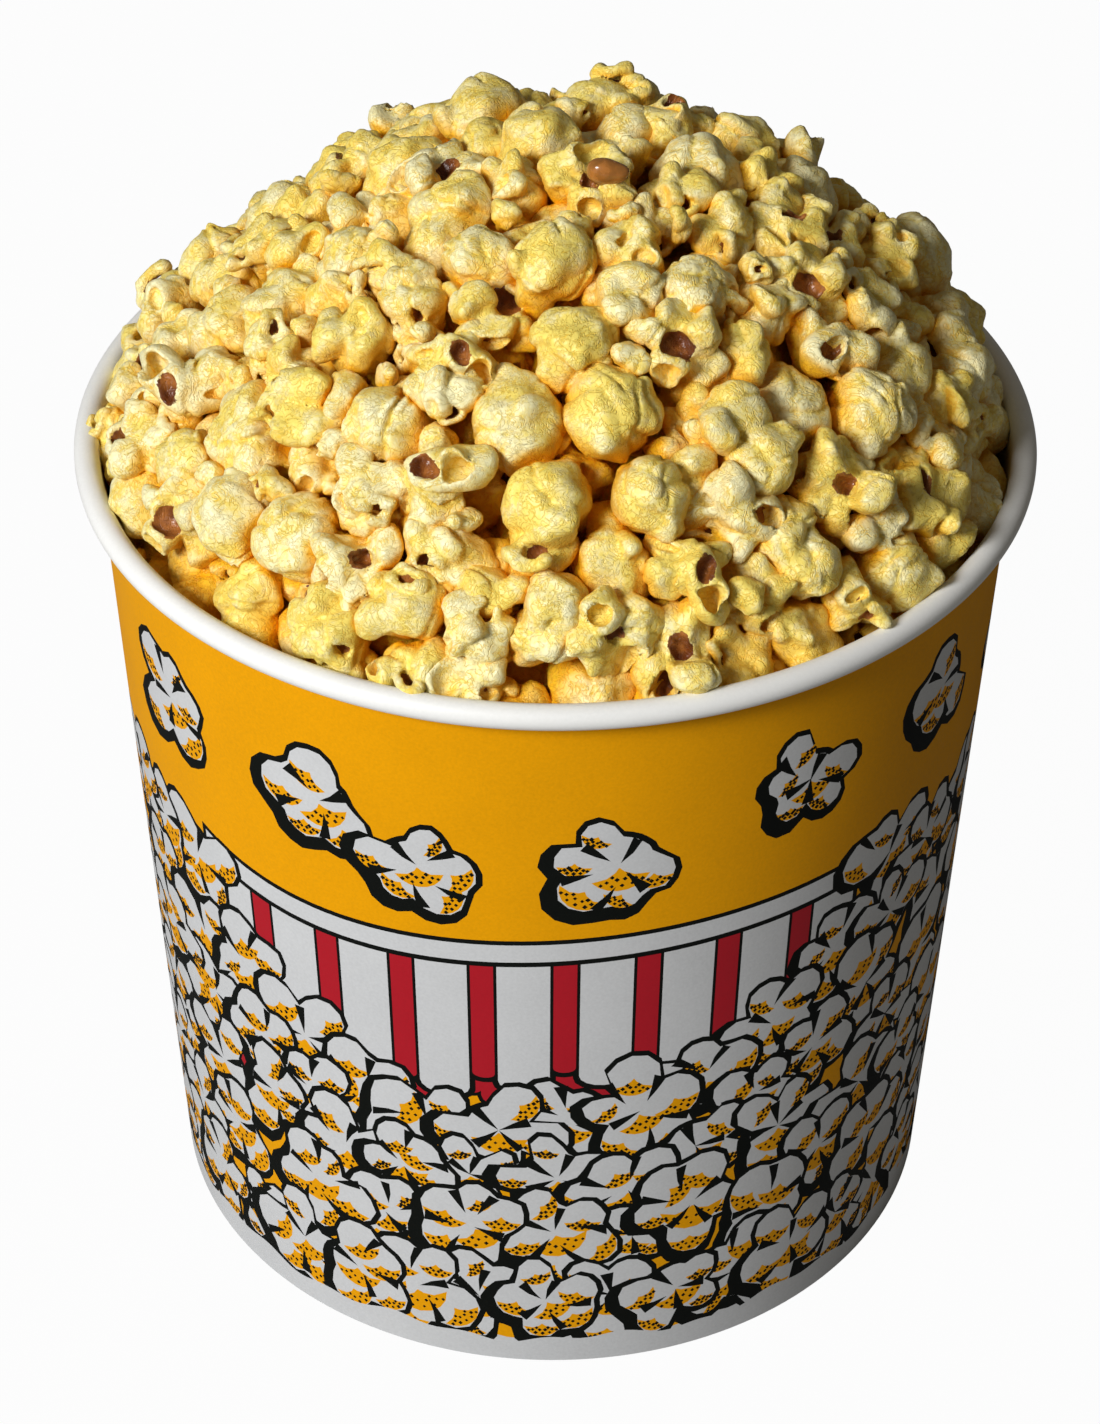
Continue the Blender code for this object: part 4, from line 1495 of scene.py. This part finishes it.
def keep_in_tub(heap, places, offsets, radii):
    """Draws flakes in from the wall below the rim, and off the rolled rim itself."""
    bead_out, bead_up = heap.tub.bead_centre[0] / MM, heap.tub.bead_centre[1] / MM
    bead = heap.tub.bead_radius / MM
    balls = places[:, None] + offsets
    level = np.linalg.norm(balls[..., :2], axis=-1)
    over = np.where(balls[..., 2] < heap.top - 2.0, level + radii - heap.room(balls[..., 2]), -1.0)
    near = np.hypot(level - bead_out, balls[..., 2] - bead_up)
    on_rim = np.where(balls[..., 2] >= heap.top - 2.0, radii + bead + 0.2 - near, -1.0)
    worst = np.maximum(over, on_rim)
    rows, index = np.arange(len(places)), worst.argmax(1)
    amount = worst[rows, index].clip(0.0, 3.0)
    inward = -balls[rows, index, :2]
    inward /= np.linalg.norm(inward, axis=1, keepdims=True) + 1e-6
    places[:, :2] += inward * amount[:, None]
    places[:, 2] += np.where(on_rim[rows, index] > over[rows, index], amount * 0.4, 0.0)


def settle(heap, lay, rounds=80):
    """Pushes flakes apart where they meet, keeps them in the tub, and draws them back to where they were laid."""
    places = np.stack(lay.places)
    home = places.copy()
    offsets, radii = lay.balls()
    weight = np.array(GIVE)[np.array(lay.layers)]
    weight[: len(LAID_BY_HAND)] = GIVE_BY_HAND
    span = (np.linalg.norm(offsets, axis=-1) + np.maximum(radii, 0)).max(1)
    proud_by = heap.draw.uniform(-2.6, 1.7, len(places))
    proud_by[: len(LAID_BY_HAND)] = [row[2] for row in LAID_BY_HAND]
    for step in range(rounds):
        if step % 8 == 0:
            apart = np.linalg.norm(places[:, None] - places[None], axis=-1)
            first, second = np.nonzero(np.triu(apart < span[:, None] + span[None] + 1.0, 1))
        push_apart(places, offsets, radii, weight, first, second)
        places += (home - places) * 0.04
        keep_under(heap, places, offsets, radii, proud_by)
        keep_in_tub(heap, places, offsets, radii)
    lay.places = list(places)


def lay_bits(heap, lay, forms, count, draw):
    """Small bits in the dips between the flakes of the top layer."""
    balls, radii = lay.filled()
    bits = []
    for _ in range(900):
        angle, out = draw.uniform(0, math.tau), (heap.edge - 6.0) * math.sqrt(draw.random())
        spot, _ = heap.under(out * math.cos(angle), out * math.sin(angle), draw.uniform(2.5, 8.0))
        form = forms[draw.integers(len(forms))]
        scale = draw.uniform(0.75, 1.15)
        size = form.size * scale
        clear = np.linalg.norm(balls - spot, axis=1) - radii - size * 0.72
        if clear.min() < 0.0 or clear.min() > 2.5:
            continue
        if any(np.linalg.norm(spot - other) < 9.0 for _, other, *_ in bits):
            continue
        bits.append((form, spot, turned_to(any_way(draw), draw), scale))
        if len(bits) == count:
            break
    return bits


def lay_grain(heap, lay, form, x, y, draw):
    """One grain brought up through the heap until it lies clear of the flakes."""
    balls, radii = lay.filled()
    for depth in np.arange(14.0, -2.0, -0.5):
        spot, _ = heap.under(float(x), float(y), depth)
        if (np.linalg.norm(balls - spot, axis=1) - radii).min() > form.size * 0.6:
            break
    turn = turned_to(unit(any_way(draw) + np.array([0.0, 0.0, 0.6])), draw)
    return form, spot, turn, draw.uniform(0.95, 1.1)


def hemmed_in(points, normals, place, crowd):
    """How closely other flakes stand round points of the flake at a place, from 0 in the open to 1, which sets the
    painted shade between flakes.
    """
    centres, radii, reach = crowd
    away = np.linalg.norm(reach[:, :3] - place, axis=1)
    near = (away < reach[:, 3] + SHADED_FROM) & (away > 1e-3)
    to = (centres[near][None] - points[:, None, None]).astype(np.float32)
    far = (to**2).sum(-1)
    facing = np.einsum("pfbi,pi->pfb", to, normals.astype(np.float32)) / np.sqrt(far)
    cover = np.clip(facing, 0, 1) * np.minimum(radii[near].astype(np.float32) ** 2 / far, 1.0)
    return 1 - np.prod(1 - cover.max(-1), -1)


def joined(laid, heap, crowd):
    """Points, triangles and looks of many flakes as one mesh.

    Each entry of laid is form, level, place, turn, scale and tone.
    """
    points, faces, looks = [], [], []
    start = 0
    for form, level, place, turn, scale, tone in laid:
        where, triangles, bran, crest, normals = form.levels[level]
        there = (where @ turn.T) * scale + place
        points.append(there)
        faces.append(triangles + start)
        shade = hemmed_in(there, normals @ turn.T, place, crowd)
        looks.append(np.stack([bran, crest, np.full(len(where), tone), shade], 1))
        start += len(where)
    points, looks = np.concatenate(points), np.concatenate(looks)
    # what lies deeper under the heap's top gets more painted shade, on top of the painted shade from the flakes round
    # it
    painted_shade = (heap.top + heap.rise(points[:, 0], points[:, 1]) - points[:, 2]) * 0.8 / 19.0 - 0.25
    looks[:, 3] = 1 - (1 - looks[:, 3]) * (1 - 0.9 * np.clip(painted_shade, 0, 1))
    # nothing goes through the wall: points below the rim are kept just inside it
    level = np.hypot(points[:, 0], points[:, 1])
    room = np.where(points[:, 2] < heap.top - 2.6, heap.room(points[:, 2]), 1e9)
    points[:, :2] *= np.minimum(1.0, room / np.maximum(level, 1e-6))[:, None]
    return points, np.concatenate(faces), looks


def flake_piece(name, laid, heap, finish, crowd):
    """One piece of many flakes."""
    points, faces, looks = joined(laid, heap, crowd)
    set_looks(new_piece(name, points * MM, faces, [finish]), looks)


def core_reach(heap, heart, way):
    """How far the core goes out from its heart, one way, before it meets the tub's room or the heap's top."""
    near, far = 10.0, 190.0
    for _ in range(14):
        middle = (near + far) / 2
        at = heart + way * middle
        # the room narrows towards the rim, where the loose flakes lie along the wall
        neck = min(max((at[2] - heap.top + 50.0) / 30.0, 0.0), 1.0)
        room = heap.room(at[2]) - 3.0 - 12.0 * neck * neck * (3 - 2 * neck)
        roof = heap.top + float(heap.rise(1.15 * at[0], 1.15 * at[1])) - CORE_SUNK
        if math.hypot(at[0], at[1]) < room and at[2] < roof:
            near = middle
        else:
            far = middle
    return near


class POPCORN_OT_core(bpy.types.Operator):
    """Fills the tub under the loose flakes with a lumpy core, coloured all over in painted shade"""

    bl_idname = "popcorn.core"
    bl_label = "Core"

    def execute(self, context):
        scene = context.scene
        heap = Heap(Tub(scene.popcorn_board), scene.popcorn_heap)
        draw = np.random.default_rng(scene.popcorn_heap.seed + 3)
        rings, sides = 46, 150
        knobs = np.stack([any_way(draw) for _ in range(KNOBS)])
        knobs = knobs[knobs[:, 2] > -0.2]
        points = []
        heart = np.array([0.0, 0.0, heap.top - 70.0])
        foot = heap.tub.settings.foot / MM + 0.35
        turns = [math.tau * side / sides for side in range(sides)]
        for z in (foot, heart[2] - 30.0, heart[2]):
            out = heap.room(z)
            points += [(out * math.cos(turn), out * math.sin(turn), z) for turn in turns]
        for ring in range(1, rings + 1):
            lift = 0.5 * math.pi * ring / (rings + 1)
            for turn in turns:
                way = np.array([math.cos(lift) * math.cos(turn), math.cos(lift) * math.sin(turn), math.sin(lift)])
                close = np.sort(knobs @ way)[-2:]
                bump = 5.5 * (math.sqrt(max(0.0, 1 - ((1 - close[1]) / 0.012) ** 2)) if close[1] > 0.988 else 0.0)
                points.append(tuple(heart + way * (core_reach(heap, heart, way) - 4.0 + bump)))
        points.append((0.0, 0.0, heap.top + heap.height - CORE_SUNK - 3.0))
        rows = rings + 3
        faces = []
        for row in range(rows - 1):
            for side in range(sides):
                after = (side + 1) % sides
                a, b = row * sides + side, row * sides + after
                c, d = (row + 1) * sides + after, (row + 1) * sides + side
                faces += [(a, b, c), (a, c, d)]
        tip = len(points) - 1
        for side in range(sides):
            faces.append(((rows - 1) * sides + side, (rows - 1) * sides + (side + 1) % sides, tip))
        base = len(points)
        points.append((0.0, 0.0, foot))
        for side in range(sides):
            faces.append(((side + 1) % sides, side, base))
        points = np.array(points)
        finish = flake_material(scene.popcorn_heap)
        piece = new_piece("popcorn_core", points * MM, faces, [finish], node="popcorn_heap")
        # the core takes the full painted shade, and part of the painted crease shade, all over
        set_looks(piece, np.tile(np.array([0.0, 0.32, 1.0, 1.0]), (len(points), 1)))
        return {"FINISHED"}


class POPCORN_OT_flakes(bpy.types.Operator):
    """Pops flakes of every kind and lays them in the heap, with small bits and a few grains that have not popped"""

    bl_idname = "popcorn.flakes"
    bl_label = "Flakes"

    def execute(self, context):
        scene = context.scene
        settings = scene.popcorn_heap
        heap = Heap(Tub(scene.popcorn_board), settings)
        forms = []
        for kind, (_, pop, count, _) in enumerate(KINDS):
            forms.append([Form(pop(settings.seed * 1000 + 100 * kind + step), FULL, PLAIN) for step in range(count)])
        lay = Lay()
        lay_by_hand(heap, lay, forms)
        lay_layer(heap, lay, forms, 0, 0.0, 0.745, 5000)
        lay_layer(heap, lay, forms, 1, 0.5, 0.78, 600, ring=(-13.0, -7.0))
        lay_layer(heap, lay, forms, 1, 11.0, 0.74, 4500)
        settle(heap, lay)
        offsets, radii = lay.balls()
        places = np.stack(lay.places)
        reach = (np.linalg.norm(offsets, axis=-1) + np.maximum(radii, 0)).max(1)
        crowd = (places[:, None] + offsets, np.maximum(radii, 0), np.column_stack([places, reach]))
        # every kind draws a tone for every flake, so the tones don't hang on how the flakes are sorted
        tones = np.random.default_rng(settings.seed + 1)
        finish = flake_material(settings)
        by_form = {id(form): name for (name, *_), group in zip(KINDS, forms) for form in group}
        for name, *_ in KINDS:
            laid = []
            for form, place, turn, scale, layer in zip(lay.forms, lay.places, lay.turns, lay.scales, lay.layers):
                tone = tones.random()
                if by_form[id(form)] == name:
                    laid.append((form, layer, place, turn, scale, tone))
            weight = sum(len(form.levels[level][1]) for form, level, *_ in laid)
            shares = 1 + weight // SHARE
            for step in range(shares):
                label = f"popcorn_{name}" + (f"_{step + 1}" if shares > 1 else "")
                flake_piece(label, laid[step::shares], heap, finish, crowd)
        draw = np.random.default_rng(settings.seed + 2)
        bits = [Form(small_bit(settings.seed * 1000 + 900 + step), BIT, BIT) for step in range(4)]
        laid = [(form, 0, *rest, draw.random()) for form, *rest in lay_bits(heap, lay, bits, BITS, draw)]
        flake_piece("popcorn_bits", laid, heap, finish, crowd)
        grain = Form(kernel(settings.seed * 1000 + 990), GRAIN, GRAIN)
        laid = [lay_grain(heap, lay, grain, x, y, draw) for x, y in GRAINS]
        laid = [(form, 0, *rest, draw.random()) for form, *rest in laid]
        flake_piece("popcorn_kernels", laid, heap, kernel_material(settings), crowd)
        return {"FINISHED"}


# ------------------------------------------------------------------------------------------------- the studio


def stage_floor(scene, settings):
    """A wide plain floor that the camera sees as nearly white."""
    mesh = bpy.data.meshes.new("floor")
    mesh.from_pydata([(-3, -3, 0), (3, -3, 0), (3, 3, 0), (-3, 3, 0)], [], [(0, 1, 2, 3)])
    floor = bpy.data.objects.new("floor", mesh)
    scene.collection.objects.link(floor)
    plain, tree, shader = new_material("floor")
    shader.inputs["Base Color"].default_value = (*settings.floor, 1.0)
    shader.inputs["Roughness"].default_value = 0.8
    light = add_node(tree, "ShaderNodeEmission", {"Color": (1.0, 1.0, 1.0, 1.0), "Strength": 1.0})
    seen = add_node(tree, "ShaderNodeLightPath").outputs["Is Camera Ray"]
    lift = add_node(tree, "ShaderNodeMixShader", {0: arithmetic(tree, "MULTIPLY", seen, settings.glow)})
    tree.links.new(shader.outputs[0], lift.inputs[1])
    tree.links.new(light.outputs[0], lift.inputs[2])
    tree.links.new(lift.outputs[0], tree.nodes["Material Output"].inputs["Surface"])
    mesh.materials.append(plain)


def stage_light(scene, settings):
    """One soft light, high in front and to the left."""
    lamp = bpy.data.lights.new("key", "AREA")
    lamp.energy, lamp.size = settings.key, 0.80
    key = bpy.data.objects.new("key", lamp)
    key.location = (-1.38, -1.52, 1.50)
    key.rotation_euler = (Vector((0.0, 0.0, 0.15)) - key.location).to_track_quat("-Z", "Y").to_euler()
    scene.collection.objects.link(key)


def stage_surround(scene, settings):
    """A warm light from all round, which the camera sees as plain white."""
    world = bpy.data.worlds.new("studio")
    world.use_nodes = True
    tree = world.node_tree
    seen = add_node(tree, "ShaderNodeLightPath").outputs["Is Camera Ray"]
    warm = mix_colours(tree, seen, (1.0, 0.92, 0.78), (1.0, 1.0, 1.0))
    tree.links.new(warm, tree.nodes["Background"].inputs["Color"])
    backdrop = arithmetic(tree, "MULTIPLY_ADD", seen, settings.glow + 0.01 - settings.fill, settings.fill)
    tree.links.new(backdrop, tree.nodes["Background"].inputs["Strength"])
    scene.world = world


def stage_camera(scene, settings, rim):
    """The camera, placed against the rim's height."""
    lens = bpy.data.cameras.new("camera")
    lens.lens = settings.lens
    lens.sensor_width = 36.0
    lens.clip_end = 20.0
    camera = bpy.data.objects.new("camera", lens)
    camera.location = (-settings.aside, -settings.back, rim + settings.up)
    tilt, roll = Euler((math.pi / 2 - settings.pitch, 0.0, 0.0)), Euler((0.0, 0.0, -settings.roll))
    camera.rotation_euler = (tilt.to_matrix() @ roll.to_matrix()).to_euler()
    scene.collection.objects.link(camera)
    scene.camera = camera
    scene.view_settings.view_transform = "Standard"


class POPCORN_OT_studio(bpy.types.Operator):
    """Sets up the floor, the soft light, the plain surround and the camera"""

    bl_idname = "popcorn.studio"
    bl_label = "Studio"

    def execute(self, context):
        scene = context.scene
        settings = scene.popcorn_studio
        stage_floor(scene, settings)
        stage_light(scene, settings)
        stage_surround(scene, settings)
        stage_camera(scene, settings, scene.popcorn_board.height)
        return {"FINISHED"}


# ------------------------------------------------------------------------------------------------- the add-on

STEPS = (POPCORN_OT_board, POPCORN_OT_print, POPCORN_OT_core, POPCORN_OT_flakes, POPCORN_OT_studio)
GROUPS = (
    ("popcorn_board", BoardSettings, "Board"),
    ("popcorn_print", PrintSettings, "Print"),
    ("popcorn_heap", HeapSettings, "Heap"),
    ("popcorn_studio", StudioSettings, "Studio"),
)


class POPCORN_PT_tub(bpy.types.Panel):
    """Settings and steps of the popcorn tub"""

    bl_label = "Popcorn Tub"
    bl_idname = "POPCORN_PT_tub"
    bl_space_type = "VIEW_3D"
    bl_region_type = "UI"
    bl_category = "Popcorn"

    def draw(self, context):
        for name, group, title in GROUPS:
            box = self.layout.box()
            box.label(text=title)
            for key in group.__annotations__:
                box.prop(getattr(context.scene, name), key)
        for step in STEPS:
            self.layout.operator(step.bl_idname)


def register():
    """Registers the settings, the steps and the panel."""
    for name, group, _ in GROUPS:
        bpy.utils.register_class(group)
        setattr(bpy.types.Scene, name, PointerProperty(type=group))
    for step in STEPS + (POPCORN_PT_tub,):
        bpy.utils.register_class(step)


def unregister():
    """Takes away what register added."""
    for step in (POPCORN_PT_tub,) + STEPS[::-1]:
        bpy.utils.unregister_class(step)
    for name, group, _ in GROUPS[::-1]:
        delattr(bpy.types.Scene, name)
        bpy.utils.unregister_class(group)


def main():
    """Builds the whole scene."""
    register()
    for step in STEPS:
        group, name = step.bl_idname.split(".")
        if getattr(getattr(bpy.ops, group), name)() != {"FINISHED"}:
            raise RuntimeError(f"{step.bl_label} was not finished")


if __name__ == "__main__":
    main()
